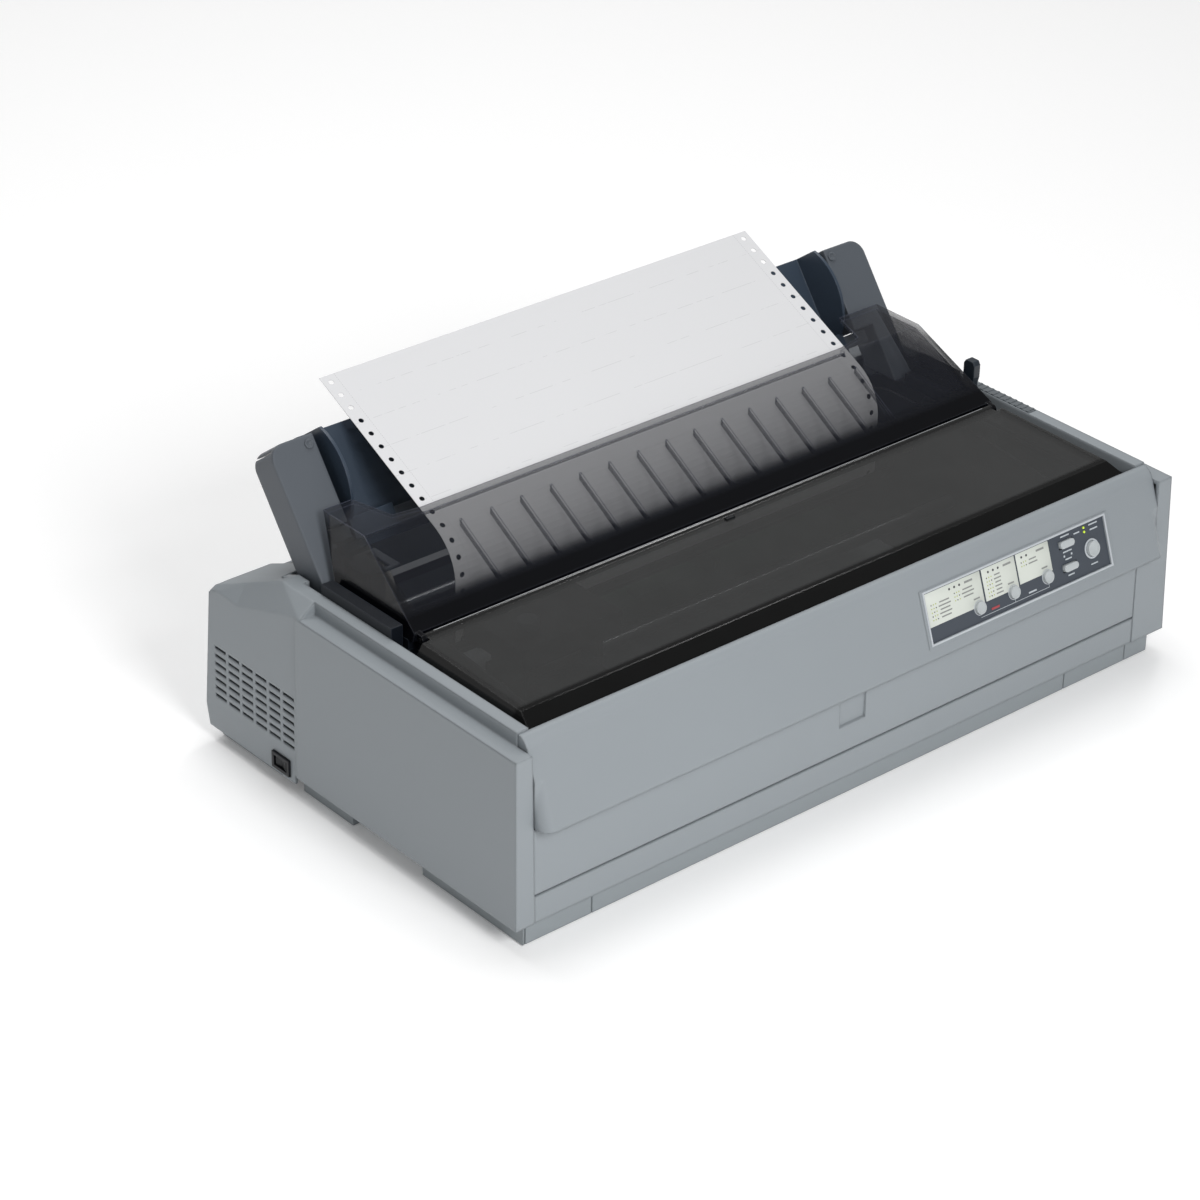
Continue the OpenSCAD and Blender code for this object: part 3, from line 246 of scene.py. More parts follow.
class MaterialShop:
    """Builds each material once and hands it out by its finish."""

    def __init__(self) -> None:
        """Starts with no materials and builds the shared node groups."""
        self._made: dict[str, bpy.types.Material] = {}
        self._groups = {
            Grain.MOULDED: self._grain_group(Grain.MOULDED, (1.0, 1.0, 1.0)),
            Grain.BRUSHED: self._grain_group(Grain.BRUSHED, (0.03, 1.0, 1.0)),
            Grain.FIBRE: self._grain_group(Grain.FIBRE, (0.35, 1.0, 1.0)),
        }
        self._border_group = self._make_border_group()

    @staticmethod
    def _grain_group(kind: Grain, stretch: Point) -> bpy.types.NodeTree:
        """Builds one surface pattern as a shader node group.

        Args:
            kind: The pattern, which names the group.
            stretch: How the fine noise is scaled along each axis.

        Returns:
            The group, with colour, roughness, edge mask and normal outputs.
        """
        tree = bpy.data.node_groups.new(kind.value, "ShaderNodeTree")
        face = tree.interface
        face.new_socket("Colour", in_out="INPUT", socket_type="NodeSocketColor")
        for label in ("Scale", "Tint", "Roughness", "Spread", "Depth", "Edge", "Edge Highlight"):
            face.new_socket(label, in_out="INPUT", socket_type="NodeSocketFloat")
        face.new_socket("Colour", in_out="OUTPUT", socket_type="NodeSocketColor")
        face.new_socket("Roughness", in_out="OUTPUT", socket_type="NodeSocketFloat")
        face.new_socket("Edge Mask", in_out="OUTPUT", socket_type="NodeSocketFloat")
        face.new_socket("Normal", in_out="OUTPUT", socket_type="NodeSocketVector")
        nodes, links = tree.nodes, tree.links
        given, out = nodes.new("NodeGroupInput"), nodes.new("NodeGroupOutput")
        place, spread = nodes.new("ShaderNodeTexCoord"), nodes.new("ShaderNodeMapping")
        spread.inputs["Scale"].default_value = stretch
        fine, broad = nodes.new("ShaderNodeTexNoise"), nodes.new("ShaderNodeTexNoise")
        fine.inputs["Detail"].default_value = 3.0
        broad.inputs["Scale"].default_value = BROAD_SCALE
        broad.inputs["Detail"].default_value = 4.0
        links.new(place.outputs["Object"], spread.inputs["Vector"])
        links.new(spread.outputs["Vector"], fine.inputs["Vector"])
        links.new(place.outputs["Object"], broad.inputs["Vector"])
        links.new(given.outputs["Scale"], fine.inputs["Scale"])
        maths = MaterialShop._math
        soft, flat = nodes.new("ShaderNodeBevel"), nodes.new("ShaderNodeNewGeometry")
        soft.samples = 4
        links.new(given.outputs["Edge"], soft.inputs["Radius"])
        match = nodes.new("ShaderNodeVectorMath")
        match.operation = "DOT_PRODUCT"
        links.new(soft.outputs["Normal"], match.inputs[0])
        links.new(flat.outputs["Normal"], match.inputs[1])
        bent = maths(tree, "SUBTRACT", 1.0, match.outputs["Value"])
        mask = maths(tree, "MINIMUM", maths(tree, "MULTIPLY", bent, EDGE_GAIN), 1.0)
        links.new(mask, out.inputs["Edge Mask"])
        offset = maths(tree, "SUBTRACT", maths(tree, "ADD", fine.outputs["Fac"],
                                               broad.outputs["Fac"]), 1.0)
        # Painted highlight: the edges are lightened here, standing in for light caught on rounded
        # edges.
        painted_edge_light = maths(tree, "MULTIPLY", mask, given.outputs["Edge Highlight"])
        level = maths(tree, "ADD", maths(tree, "MULTIPLY", offset, given.outputs["Tint"]), 1.0)
        level = maths(tree, "ADD", level, painted_edge_light)
        shade = nodes.new("ShaderNodeVectorMath")
        shade.operation = "SCALE"
        links.new(given.outputs["Colour"], shade.inputs[0])
        links.new(level, shade.inputs["Scale"])
        links.new(shade.outputs["Vector"], out.inputs["Colour"])
        rough = maths(tree, "MULTIPLY", offset, given.outputs["Spread"])
        links.new(maths(tree, "ADD", rough, given.outputs["Roughness"]), out.inputs["Roughness"])
        bump = nodes.new("ShaderNodeBump")
        bump.inputs["Distance"].default_value = RELIEF
        links.new(given.outputs["Depth"], bump.inputs["Strength"])
        links.new(fine.outputs["Fac"], bump.inputs["Height"])
        links.new(soft.outputs["Normal"], bump.inputs["Normal"])
        links.new(bump.outputs["Normal"], out.inputs["Normal"])
        return tree

    @staticmethod
    def _math(tree: bpy.types.NodeTree, operation: str, first: object,
              second: object) -> bpy.types.NodeSocket:
        """Adds a math node; each side is a socket or a number.

        Args:
            tree: The node tree that gets it.
            operation: Name of the operation.
            first: Left side.
            second: Right side.

        Returns:
            The result socket.
        """
        node = tree.nodes.new("ShaderNodeMath")
        node.operation = operation
        for place, value in enumerate((first, second)):
            if isinstance(value, bpy.types.NodeSocket):
                tree.links.new(value, node.inputs[place])
            else:
                node.inputs[place].default_value = float(value)
        return node.outputs[0]

    def get(self, finish: Finish) -> bpy.types.Material:
        """The material for a finish, built the first time it is asked for."""
        if finish.name not in self._made:
            self._made[finish.name] = self._build(finish)
        return self._made[finish.name]

    def _build(self, finish: Finish) -> bpy.types.Material:
        """Builds a material: surface pattern, softened edges and fine relief.

        Args:
            finish: The finish to build.

        Returns:
            The material.
        """
        material = bpy.data.materials.new(finish.name)
        material.use_nodes = True
        tree = material.node_tree
        shader = tree.nodes["Principled BSDF"]
        group = tree.nodes.new("ShaderNodeGroup")
        group.node_tree = self._groups[finish.grain]
        group.inputs["Colour"].default_value = (*finish.colour, 1.0)
        group.inputs["Scale"].default_value = finish.scale
        group.inputs["Tint"].default_value = finish.tint
        group.inputs["Roughness"].default_value = finish.roughness
        group.inputs["Spread"].default_value = finish.spread
        group.inputs["Depth"].default_value = finish.depth
        group.inputs["Edge"].default_value = finish.edge
        group.inputs["Edge Highlight"].default_value = finish.edge_highlight
        colour = group.outputs["Colour"]
        if finish.grain is Grain.FIBRE:
            colour = self._ruled(tree, colour)
        tree.links.new(colour, shader.inputs["Base Color"])
        tree.links.new(group.outputs["Roughness"], shader.inputs["Roughness"])
        tree.links.new(group.outputs["Normal"], shader.inputs["Normal"])
        shader.inputs["Metallic"].default_value = finish.metallic
        shader.inputs["Specular IOR Level"].default_value = finish.specular
        shader.inputs["Coat Weight"].default_value = finish.coat
        shader.inputs["Coat Roughness"].default_value = COAT_ROUGHNESS
        if finish.border is not None:
            self._smoked(tree, shader, finish, group)
        if finish.glow:
            shader.inputs["Emission Color"].default_value = (*finish.colour, 1.0)
            shader.inputs["Emission Strength"].default_value = finish.glow
        return material

    @staticmethod
    def _make_border_group() -> bpy.types.NodeTree:
        """Builds the mask of a smoked cover's dark border, which is painted shade: its sides,
        front, back and foot.

        Returns:
            The group, with the border's mask and that of its matt front and foot.
        """
        tree = bpy.data.node_groups.new("cover_border", "ShaderNodeTree")
        face = tree.interface
        for label in ("Half Width", "Front", "Back", "Low", "Side Strength", "Soft"):
            face.new_socket(label, in_out="INPUT", socket_type="NodeSocketFloat")
        face.new_socket("Mask", in_out="OUTPUT", socket_type="NodeSocketFloat")
        face.new_socket("Matt", in_out="OUTPUT", socket_type="NodeSocketFloat")
        nodes, links = tree.nodes, tree.links
        given, out = nodes.new("NodeGroupInput"), nodes.new("NodeGroupOutput")
        place, parts = nodes.new("ShaderNodeTexCoord"), nodes.new("ShaderNodeSeparateXYZ")
        links.new(place.outputs["Object"], parts.inputs["Vector"])
        maths = MaterialShop._math
        limits = given.outputs

        def band(high: object, low: object) -> bpy.types.NodeSocket:
            """Rises from 0 to 1 as the first value passes the second."""
            rise = maths(tree, "DIVIDE", maths(tree, "SUBTRACT", high, low), limits["Soft"])
            return maths(tree, "MAXIMUM", maths(tree, "MINIMUM", rise, 1.0), 0.0)

        across = maths(tree, "ABSOLUTE", parts.outputs["X"], 0.0)
        side = maths(tree, "MULTIPLY", band(across, limits["Half Width"]),
                     limits["Side Strength"])
        matt = maths(tree, "MAXIMUM", band(limits["Front"], parts.outputs["Y"]),
                     band(limits["Low"], parts.outputs["Z"]))
        links.new(matt, out.inputs["Matt"])
        rest = maths(tree, "MAXIMUM", matt, band(parts.outputs["Y"], limits["Back"]))
        links.new(maths(tree, "MAXIMUM", side, rest), out.inputs["Mask"])
        return tree

    def _smoked(self, tree: bpy.types.NodeTree, shader: bpy.types.Node, finish: Finish,
                surface: bpy.types.Node) -> None:
        """Sets a smoked sheet's opacity, gloss and painted shade: clear in its middle, solid and
        darkened at its border.

        Args:
            tree: The material's node tree.
            shader: The Principled shader.
            finish: The finish, with its border.
            surface: The surface pattern's group.
        """
        edges = surface.outputs["Edge Mask"]
        border = tree.nodes.new("ShaderNodeGroup")
        border.node_tree = self._border_group
        values = (finish.border.half_width, finish.border.front, finish.border.back,
                  finish.border.low, finish.border.side_strength, finish.border.soft)
        for socket, value in zip(border.inputs, values):
            socket.default_value = value
        rim = self._math(tree, "MAXIMUM", border.outputs["Mask"], edges)
        # Painted shade: the border's colour is darkened, standing in for the shade behind the
        # covers.
        dark = self._math(tree, "MULTIPLY", border.outputs["Mask"], BORDER_PAINTED_SHADE)
        deep = tree.nodes.new("ShaderNodeVectorMath")
        deep.operation = "SCALE"
        tree.links.new(surface.outputs["Colour"], deep.inputs[0])
        tree.links.new(self._math(tree, "SUBTRACT", 1.0, dark), deep.inputs["Scale"])
        tree.links.new(deep.outputs["Vector"], shader.inputs["Base Color"])
        facing = tree.nodes.new("ShaderNodeLayerWeight")
        facing.inputs["Blend"].default_value = 0.3
        clear = 1.0 - finish.alpha
        slant = self._math(tree, "MULTIPLY", facing.outputs["Facing"],
                           SLANT_OPACITY * clear)
        flat = self._math(tree, "ADD", slant, finish.alpha)
        solid = self._math(tree, "MULTIPLY", rim, RIM_OPACITY)
        tree.links.new(self._math(tree, "MAXIMUM", flat, solid), shader.inputs["Alpha"])
        gloss = self._math(tree, "SUBTRACT", 1.0, border.outputs["Matt"])
        shine = self._math(tree, "MAXIMUM", self._math(tree, "MULTIPLY", gloss, finish.coat),
                           edges)
        tree.links.new(shine, shader.inputs["Coat Weight"])

    def _ruled(self, tree: bpy.types.NodeTree,
               colour: bpy.types.NodeSocket) -> bpy.types.NodeSocket:
        """Adds the form's faint cross rules and its two tear-off lines.

        Args:
            tree: The paper's node tree.
            colour: Plain paper colour.

        Returns:
            Paper colour with the rules.
        """
        nodes, links = tree.nodes, tree.links
        place, turn = nodes.new("ShaderNodeTexCoord"), nodes.new("ShaderNodeMapping")
        turn.vector_type = "TEXTURE"
        turn.inputs["Rotation"].default_value = (SHEET_TILT, 0.0, 0.0)
        parts = nodes.new("ShaderNodeSeparateXYZ")
        links.new(place.outputs["Object"], turn.inputs["Vector"])
        links.new(turn.outputs["Vector"], parts.inputs["Vector"])
        noise = nodes.new("ShaderNodeTexNoise")
        noise.inputs["Scale"].default_value = 40.0
        rule = self._math(tree, "PINGPONG", parts.outputs["Y"], RULE_PITCH)
        thin = self._math(tree, "LESS_THAN", rule, 0.00022)
        broken = self._math(tree, "GREATER_THAN", noise.outputs["Fac"], 0.5)
        faint = self._math(tree, "MULTIPLY", thin, broken)
        shifted = self._math(tree, "ADD", parts.outputs["X"], SHEET_SHIFT)
        side = self._math(tree, "ABSOLUTE", shifted, 0.0)
        near = self._math(tree, "SUBTRACT", side, TEAR_LINE)
        close = self._math(tree, "LESS_THAN", self._math(tree, "ABSOLUTE", near, 0.0), 0.00018)
        dash = self._math(tree, "PINGPONG", parts.outputs["Y"], 0.0009)
        cut = self._math(tree, "MULTIPLY", close, self._math(tree, "LESS_THAN", dash, 0.0005))
        both = self._math(tree, "ADD", self._math(tree, "MULTIPLY", faint, 0.16),
                          self._math(tree, "MULTIPLY", cut, 0.3))
        shade = nodes.new("ShaderNodeVectorMath")
        shade.operation = "SCALE"
        links.new(colour, shade.inputs[0])
        links.new(self._math(tree, "SUBTRACT", 1.0, both), shade.inputs["Scale"])
        return shade.outputs["Vector"]


class Bench:
    """Modelling moves used by every sub-assembly."""

    @staticmethod
    def clear() -> None:
        """Deselects everything."""
        bpy.ops.object.select_all(action="DESELECT")

    @staticmethod
    def hold(piece: bpy.types.Object) -> None:
        """Makes one piece the selected and active one."""
        Bench.clear()
        piece.select_set(True)
        bpy.context.view_layer.objects.active = piece

    @staticmethod
    def block(name: str, size: Point, centre: Point = (0.0, 0.0, 0.0)) -> bpy.types.Object:
        """A block with its size and centre given in millimetres.

        Args:
            name: Name of the piece.
            size: Width, depth and height.
            centre: Place of its middle.

        Returns:
            The block, with its place in its mesh.
        """
        Bench.clear()
        bpy.ops.mesh.primitive_cube_add(size=1.0)
        piece = bpy.context.active_object
        piece.name = name
        piece.data.transform(Matrix.Translation(Vector(centre) * MM)
                             @ Matrix.Diagonal((*[s * MM for s in size], 1.0)))
        return piece

    @staticmethod
    def disc(name: str, radius: float, low: float, high: float,
             sides: int = 48) -> bpy.types.Object:
        """A round piece along z, in millimetres.

        Args:
            name: Name of the piece.
            radius: Radius.
            low: Height of its lower face.
            high: Height of its upper face.
            sides: Number of sides.

        Returns:
            The piece, with its place in its mesh.
        """
        Bench.clear()
        bpy.ops.mesh.primitive_cylinder_add(vertices=sides, radius=radius * MM,
                                            depth=(high - low) * MM)
        piece = bpy.context.active_object
        piece.name = name
        piece.data.transform(Matrix.Translation((0.0, 0.0, (high + low) / 2 * MM)))
        return piece

    @staticmethod
    def pick(piece: bpy.types.Object, test: Callable[[Vector, Vector], bool]) -> None:
        """Opens a piece for editing with the faces picked that pass a test.

        Args:
            piece: The piece.
            test: Takes a face's centre and normal.
        """
        Bench.hold(piece)
        bpy.ops.object.mode_set(mode="EDIT")
        bpy.ops.mesh.select_mode(type="FACE")
        bpy.ops.mesh.select_all(action="DESELECT")
        bpy.ops.object.mode_set(mode="OBJECT")
        for face in piece.data.polygons:
            face.select = bool(test(face.center, face.normal))
        bpy.ops.object.mode_set(mode="EDIT")

    @staticmethod
    def leave() -> None:
        """Closes editing."""
        bpy.ops.object.mode_set(mode="OBJECT")

    @staticmethod
    def push(amount: Point) -> None:
        """Extrudes the picked faces by an amount in millimetres."""
        bpy.ops.mesh.extrude_region_move(
            TRANSFORM_OT_translate={"value": tuple(a * MM for a in amount)})

    @staticmethod
    def round_off(piece: bpy.types.Object, width: float, segments: int = 3,
                  angle: float = 40.0) -> None:
        """Rounds a piece's sharp edges and smooths its shading.

        Args:
            piece: The piece.
            width: Width of the rounding in millimetres.
            segments: Steps in the rounding.
            angle: Sharpest angle left alone, in degrees.
        """
        Bench.hold(piece)
        bevel = piece.modifiers.new("edges", "BEVEL")
        bevel.width = width * MM
        bevel.segments = segments
        bevel.limit_method = "ANGLE"
        bevel.angle_limit = math.radians(angle)
        bevel.harden_normals = False
        bpy.ops.object.modifier_apply(modifier=bevel.name)
        bpy.ops.object.shade_smooth_by_angle(angle=math.radians(50.0))

    @staticmethod
    def carve(piece: bpy.types.Object, tool: bpy.types.Object) -> None:
        """Cuts a tool's shape out of a piece and puts the tool away."""
        Bench.hold(piece)
        cut = piece.modifiers.new("cut", "BOOLEAN")
        cut.operation = "DIFFERENCE"
        cut.object = tool
        cut.solver = "EXACT"
        bpy.ops.object.modifier_apply(modifier=cut.name)
        bpy.data.objects.remove(tool, do_unlink=True)

    @staticmethod
    def copy(piece: bpy.types.Object, name: str, place: Matrix) -> bpy.types.Object:
        """A copy with its own mesh, moved by a matrix.

        Args:
            piece: The piece to copy.
            name: Name of the copy.
            place: Placing matrix.

        Returns:
            The copy.
        """
        twin = bpy.data.objects.new(name, piece.data.copy())
        bpy.context.scene.collection.objects.link(twin)
        twin.data.transform(place)
        return twin

    @staticmethod
    def join(name: str, pieces: Sequence[bpy.types.Object]) -> bpy.types.Object:
        """Joins pieces into one.

        Args:
            name: Name of the joined piece.
            pieces: The pieces.

        Returns:
            The joined piece.
        """
        Bench.clear()
        for piece in pieces:
            piece.select_set(True)
        bpy.context.view_layer.objects.active = pieces[0]
        if len(pieces) > 1:
            bpy.ops.object.join()
        pieces[0].name = name
        return pieces[0]

    @staticmethod
    def drop(piece: bpy.types.Object) -> None:
        """Puts away a pattern piece."""
        bpy.data.objects.remove(piece, do_unlink=True)


@dataclass
class SubAssembly:
    """What every sub-assembly shares: the material shop and the body it rides on."""

    shop: MaterialShop
    body: str = "machine"

    def dress(self, nodes: Iterable[str], finish: Finish) -> None:
        """Gives frame nodes a finish.

        Args:
            nodes: Names of the nodes.
            finish: The finish.
        """
        material = self.shop.get(finish)
        for name in nodes:
            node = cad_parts[name]
            if not node.material_slots:
                node.data.materials.append(material)
            for slot in node.material_slots:
                slot.material = material

    def fit(self, piece: bpy.types.Object, finish: Finish, slot: Slot,
            body: str | None = None) -> bpy.types.Object:
        """Finishes a new piece: material and body.

        Args:
            piece: The piece.
            finish: Its finish.
            slot: The record's material slot; not used.
            body: The body it rides on, if not the sub-assembly's own.

        Returns:
            The piece.
        """
        piece.data.materials.clear()
        piece.data.materials.append(self.shop.get(finish))
        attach(piece, body or self.body)
        LOG.info("piece %s rides on %s", piece.name, body or self.body)
        return piece


@dataclass
class CaseWork(SubAssembly):
    """The case, its front, the rails of the opening and the rear."""

    screw_r: float = 3.2
    screw_places: tuple[tuple[float, float], ...] = ((-250.0, 105.0), (250.0, 105.0),
                                                     (-60.0, 30.0), (250.0, 30.0))
    screw_sink: float = 0.6
    pin_places: tuple[tuple[float, float], ...] = ((-288.0, 48.6), (-282.0, 51.4), (-276.0, 48.6))
    pin_y: float = 341.6

    def build(self) -> None:
        """Dresses the case and adds the rear screws and the inlet's pins."""
        self.dress(("upper_case", "fascia", "front_panel", "front_strip"), CASE)
        self.dress(("base_pan",), CASE_LOW)
        self.dress(("side_rails", "front_tray"), TRIM)
        self.dress(("lever_scale",), SCALE)
        self.dress(("rubber_feet",), RUBBER)
        self.dress(("switch_frame", "power_rocker", "rear_sockets"), BLACK)
        self._screws()
        self._pins()

    def _screws(self) -> None:
        """Pan-head screws on the rear wall."""
        head = Bench.disc("screw_pattern", self.screw_r, 0.0, 1.9, 24)
        Bench.carve(head, Bench.block("slot_tool", (4.6, 0.9, 2.0), (0.0, 0.0, 2.0)))
        Bench.carve(head, Bench.block("slot_tool", (0.9, 4.6, 2.0), (0.0, 0.0, 2.0)))
        Bench.round_off(head, 0.5, 2)
        for number, (x, z) in enumerate(self.screw_places):
            lean = max(z - REAR_BEND_Z, 0.0) * REAR_LEAN_IN / REAR_LEAN_HEIGHT
            depth = REAR_Y - lean - self.screw_sink
            turn = Matrix.Rotation(math.radians(-90.0), 4, "X")
            place = Matrix.Translation(row(x, depth, z)) @ turn
            self.fit(Bench.copy(head, f"rear_screw_{number + 1}", place), STEEL, Slot.STEEL)
        Bench.drop(head)

    def _pins(self) -> None:
        """The three flat pins in the mains inlet."""
        blade = Bench.block("pin_pattern", (1.6, 8.0, 5.2))
        Bench.pick(blade, lambda centre, normal: normal.y > 0.9)
        bpy.ops.mesh.inset(thickness=0.3 * MM)
        Bench.push((0.0, 0.4, 0.0))
        Bench.leave()
        Bench.round_off(blade, 0.12, 2)
        for number, (x, z) in enumerate(self.pin_places):
            place = Matrix.Translation(row(x, self.pin_y, z))
            self.fit(Bench.copy(blade, f"inlet_pin_{number + 1}", place), STEEL, Slot.STEEL)
        Bench.drop(blade)


@dataclass
class ControlPanel(SubAssembly):
    """The label on the fascia with its pale fields, marks, buttons and light."""

    label: tuple[float, float, float, float] = (57.3, 240.9, 11.7, 48.6)
    fields: tuple[tuple[float, float, float, float], ...] = (
        (58.2, 113.0, 23.2, 48.0), (114.6, 148.0, 24.3, 48.0), (149.4, 183.0, 25.6, 48.0))
    rounds: tuple[tuple[float, float, float], ...] = (
        (107.2, 22.3, 4.6), (141.9, 22.5, 4.6), (176.8, 22.8, 4.6), (225.0, 28.7, 6.5))
    pills: tuple[tuple[float, float], ...] = ((200.4, 40.3), (200.4, 22.8))
    pill_size: tuple[float, float] = (14.4, 5.4)
    inks: dict[str, list[bpy.types.Object]] = field(default_factory=dict)

    def build(self) -> None:
        """Dresses the panel and builds its graphics and caps."""
        self.dress(("control_label",), SLATE)
        self.dress(("panel_leds",), LED)
        self.dress(("panel_board",), BOARD)
        self._bead()
        self._fields()
        self._rings()
        self._marks()
        self._caps()

    def _bead(self) -> None:
        """The slim raised bead round the label."""
        x0, x1, v0, v1 = self.label
        Bench.clear()
        bpy.ops.mesh.primitive_plane_add(size=1.0)
        bead = bpy.context.active_object
        bead.name = "label_bead"
        width, height = x1 - x0 + 3.2, v1 - v0 + 3.2
        bead.data.transform(Matrix.Diagonal((width * MM, height * MM, 1.0, 1.0)))
        Bench.pick(bead, lambda centre, normal: True)
        bpy.ops.mesh.inset(thickness=1.5 * MM)
        bpy.ops.mesh.delete(type="FACE")
        bpy.ops.mesh.select_all(action="SELECT")
        Bench.push((0.0, 0.0, 1.0))
        bpy.ops.mesh.select_all(action="SELECT")
        bpy.ops.mesh.normals_make_consistent(inside=False)
        Bench.leave()
        Bench.round_off(bead, 0.45, 3)
        bead.data.transform(fascia_matrix((x0 + x1) / 2, (v0 + v1) / 2, 0.2))
        self.fit(bead, BEAD, Slot.CASE)

    def _fields(self) -> None:
        """The three pale printed fields."""
        for number, (x0, x1, v0, v1) in enumerate(self.fields):
            size = (x1 - x0, v1 - v0, 0.16)
            plate = Bench.block(f"label_field_{number + 1}", size, (0.0, 0.0, 0.08))
            Bench.round_off(plate, 0.05, 1)
            plate.data.transform(fascia_matrix((x0 + x1) / 2, (v0 + v1) / 2, -0.31))
            self.fit(plate, CREAM, Slot.LABEL)

    def _rings(self) -> None:
        """The slim pale rings round the round buttons."""
        rings = []
        for x, v, radius in self.rounds:
            Bench.clear()
            bpy.ops.mesh.primitive_circle_add(vertices=48, radius=(radius + 0.95) * MM,
                                              fill_type="NGON")
            ring = bpy.context.active_object
            Bench.pick(ring, lambda centre, normal: True)
            bpy.ops.mesh.inset(thickness=(0.6 if radius < BIG_BUTTON_R else 1.5) * MM)
            bpy.ops.mesh.delete(type="FACE")
            bpy.ops.mesh.select_all(action="SELECT")
            Bench.push((0.0, 0.0, 0.35))
            bpy.ops.mesh.select_all(action="SELECT")
            bpy.ops.mesh.normals_make_consistent(inside=False)
            Bench.leave()
            Bench.round_off(ring, 0.12, 2)
            ring.data.transform(fascia_matrix(x, v, -0.32))
            rings.append(ring)
        self.fit(Bench.join("button_rings", rings), BEAD, Slot.LABEL)

    def _mark(self, ink: Finish, x: float, v: float, width: float, height: float) -> None:
        """One printed mark, kept for joining with the others of its ink."""
        mark = Bench.block("mark", (width, height, 0.1), (0.0, 0.0, 0.05))
        mark.data.transform(fascia_matrix(x, v, -0.16))
        self.inks.setdefault(ink.name, []).append(mark)

    def _dot(self, ink: Finish, x: float, v: float, radius: float) -> None:
        """One printed dot, kept for joining with the others of its ink."""
        dot = Bench.disc("dot", radius, 0.0, 0.12, 12)
        dot.data.transform(fascia_matrix(x, v, -0.16))
        self.inks.setdefault(ink.name, []).append(dot)

    def _marks(self) -> None:
        """Dots, bars and lines of the printed guide, with no words."""
        for x0, v0 in ((82.0, 44.4), (121.0, 44.4), (155.0, 44.4)):
            for step in range(3 if x0 < 150 else 2):
                self._dot(INK, x0 + step * 5.0, v0, 0.9)
            self._mark(INK_GREY, x0 + 19.0, v0, 8.0, 1.5)
        for x0, top, rows, bar in ((62.5, 38.5, 5, 12.0), (86.0, 40.0, 3, 12.0),
                                   (118.5, 40.5, 6, 7.0), (154.0, 40.5, 2, 9.0)):
            for line in range(rows):
                v = top - line * 2.75
                for step in range(3):
                    ink = INK_GREEN if (step + line) % 3 else INK
                    self._dot(ink, x0 + step * 2.3, v, 0.5)
                self._mark(INK_GREY, x0 + 7.0 + bar / 2, v, bar * (0.8 + 0.2 * (line % 2)), 1.0)
        for x, v in ((107.5, 29.6), (142.2, 29.8), (177.0, 30.2)):
            self._mark(INK_GREY, x - 1.5, v, 6.0, 1.1)
        for v in (46.2, 34.6, 29.0, 17.0):
            self._mark(INK_PALE, 200.4, v, 9.0 if v > 30.0 else 6.5, 1.0)
        for x in (196.6, 204.2):
            self._mark(INK_PALE, x, 31.6, 1.5, 1.5)
        for x, v, width in ((212.5, 44.5, 6.0), (230.0, 46.3, 9.0), (230.0, 42.6, 8.0),
                            (225.0, 17.5, 7.0)):
            self._mark(INK_PALE, x, v, width, 1.0)
        for x, v, width, height in ((159.4, 15.0, 35.0, 0.35), (141.9, 16.2, 0.35, 2.5),
                                    (176.8, 16.2, 0.35, 2.5), (124.5, 15.0, 35.0, 0.35)):
            self._mark(INK_PALE, x, v, width, height)
        self._mark(INK_RED, 122.0, 17.6, 8.0, 1.6)
        self._mark(INK_PALE, 160.0, 17.2, 8.0, 1.2)
        finishes = {f.name: f for f in (INK, INK_GREEN, INK_PALE, INK_GREY, INK_RED)}
        for name, parts in self.inks.items():
            self.fit(Bench.join(f"marks_{name}", parts), finishes[name], Slot.LABEL)

    def _caps(self) -> None:
        """Button caps with dished tops and rounded rims."""
        for number, (x, v, radius) in enumerate(self.rounds):
            proud = 2.2 if radius < BIG_BUTTON_R else 2.6
            cap = Bench.disc(f"cap_{number + 1}", min(radius, 5.7), -4.5, proud)
            Bench.pick(cap, lambda centre, normal: normal.z > 0.9)
            bpy.ops.mesh.inset(thickness=radius * 0.2 * MM)
            Bench.push((0.0, 0.0, -0.35))
            bpy.ops.mesh.inset(thickness=radius * 0.25 * MM)
            Bench.push((0.0, 0.0, -0.15))
            Bench.leave()
            Bench.round_off(cap, 0.5, 3, 30.0)
            cap.data.transform(fascia_matrix(x, v))
            key = 6 if radius > BIG_BUTTON_R else number + 1
            self._stand_in(cap, key)
        for number, (x, v) in enumerate(self.pills):
            width, height = self.pill_size
            cap = Bench.block(f"pill_cap_{number + 1}", (width, height, 6.4), (0.0, 0.0, -1.0))
            self._round_ends(cap, height / 2 - 0.05)
            Bench.round_off(cap, 0.6, 3, 60.0)
            cap.data.transform(fascia_matrix(x, v))
            self._stand_in(cap, number + 4)

    @staticmethod
    def _round_ends(cap: bpy.types.Object, radius: float) -> None:
        """Rounds the four upright corners of a block."""
        Bench.hold(cap)
        bpy.ops.object.mode_set(mode="EDIT")
        bpy.ops.mesh.select_mode(type="EDGE")
        bpy.ops.mesh.select_all(action="DESELECT")
        bpy.ops.object.mode_set(mode="OBJECT")
        points = cap.data.vertices
        for edge in cap.data.edges:
            first, second = (points[i].co for i in edge.vertices)
            edge.select = abs(first.z - second.z) > 0.001
        bpy.ops.object.mode_set(mode="EDIT")
        bpy.ops.mesh.bevel(offset=radius * MM, segments=8)
        bpy.ops.object.mode_set(mode="OBJECT")

    def _stand_in(self, cap: bpy.types.Object, key: int) -> None:
        """Lets a cap stand for its button node."""
        self.fit(cap, BUTTON, Slot.BUTTON, f"key_{key}")
        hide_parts(f"button_{key}")


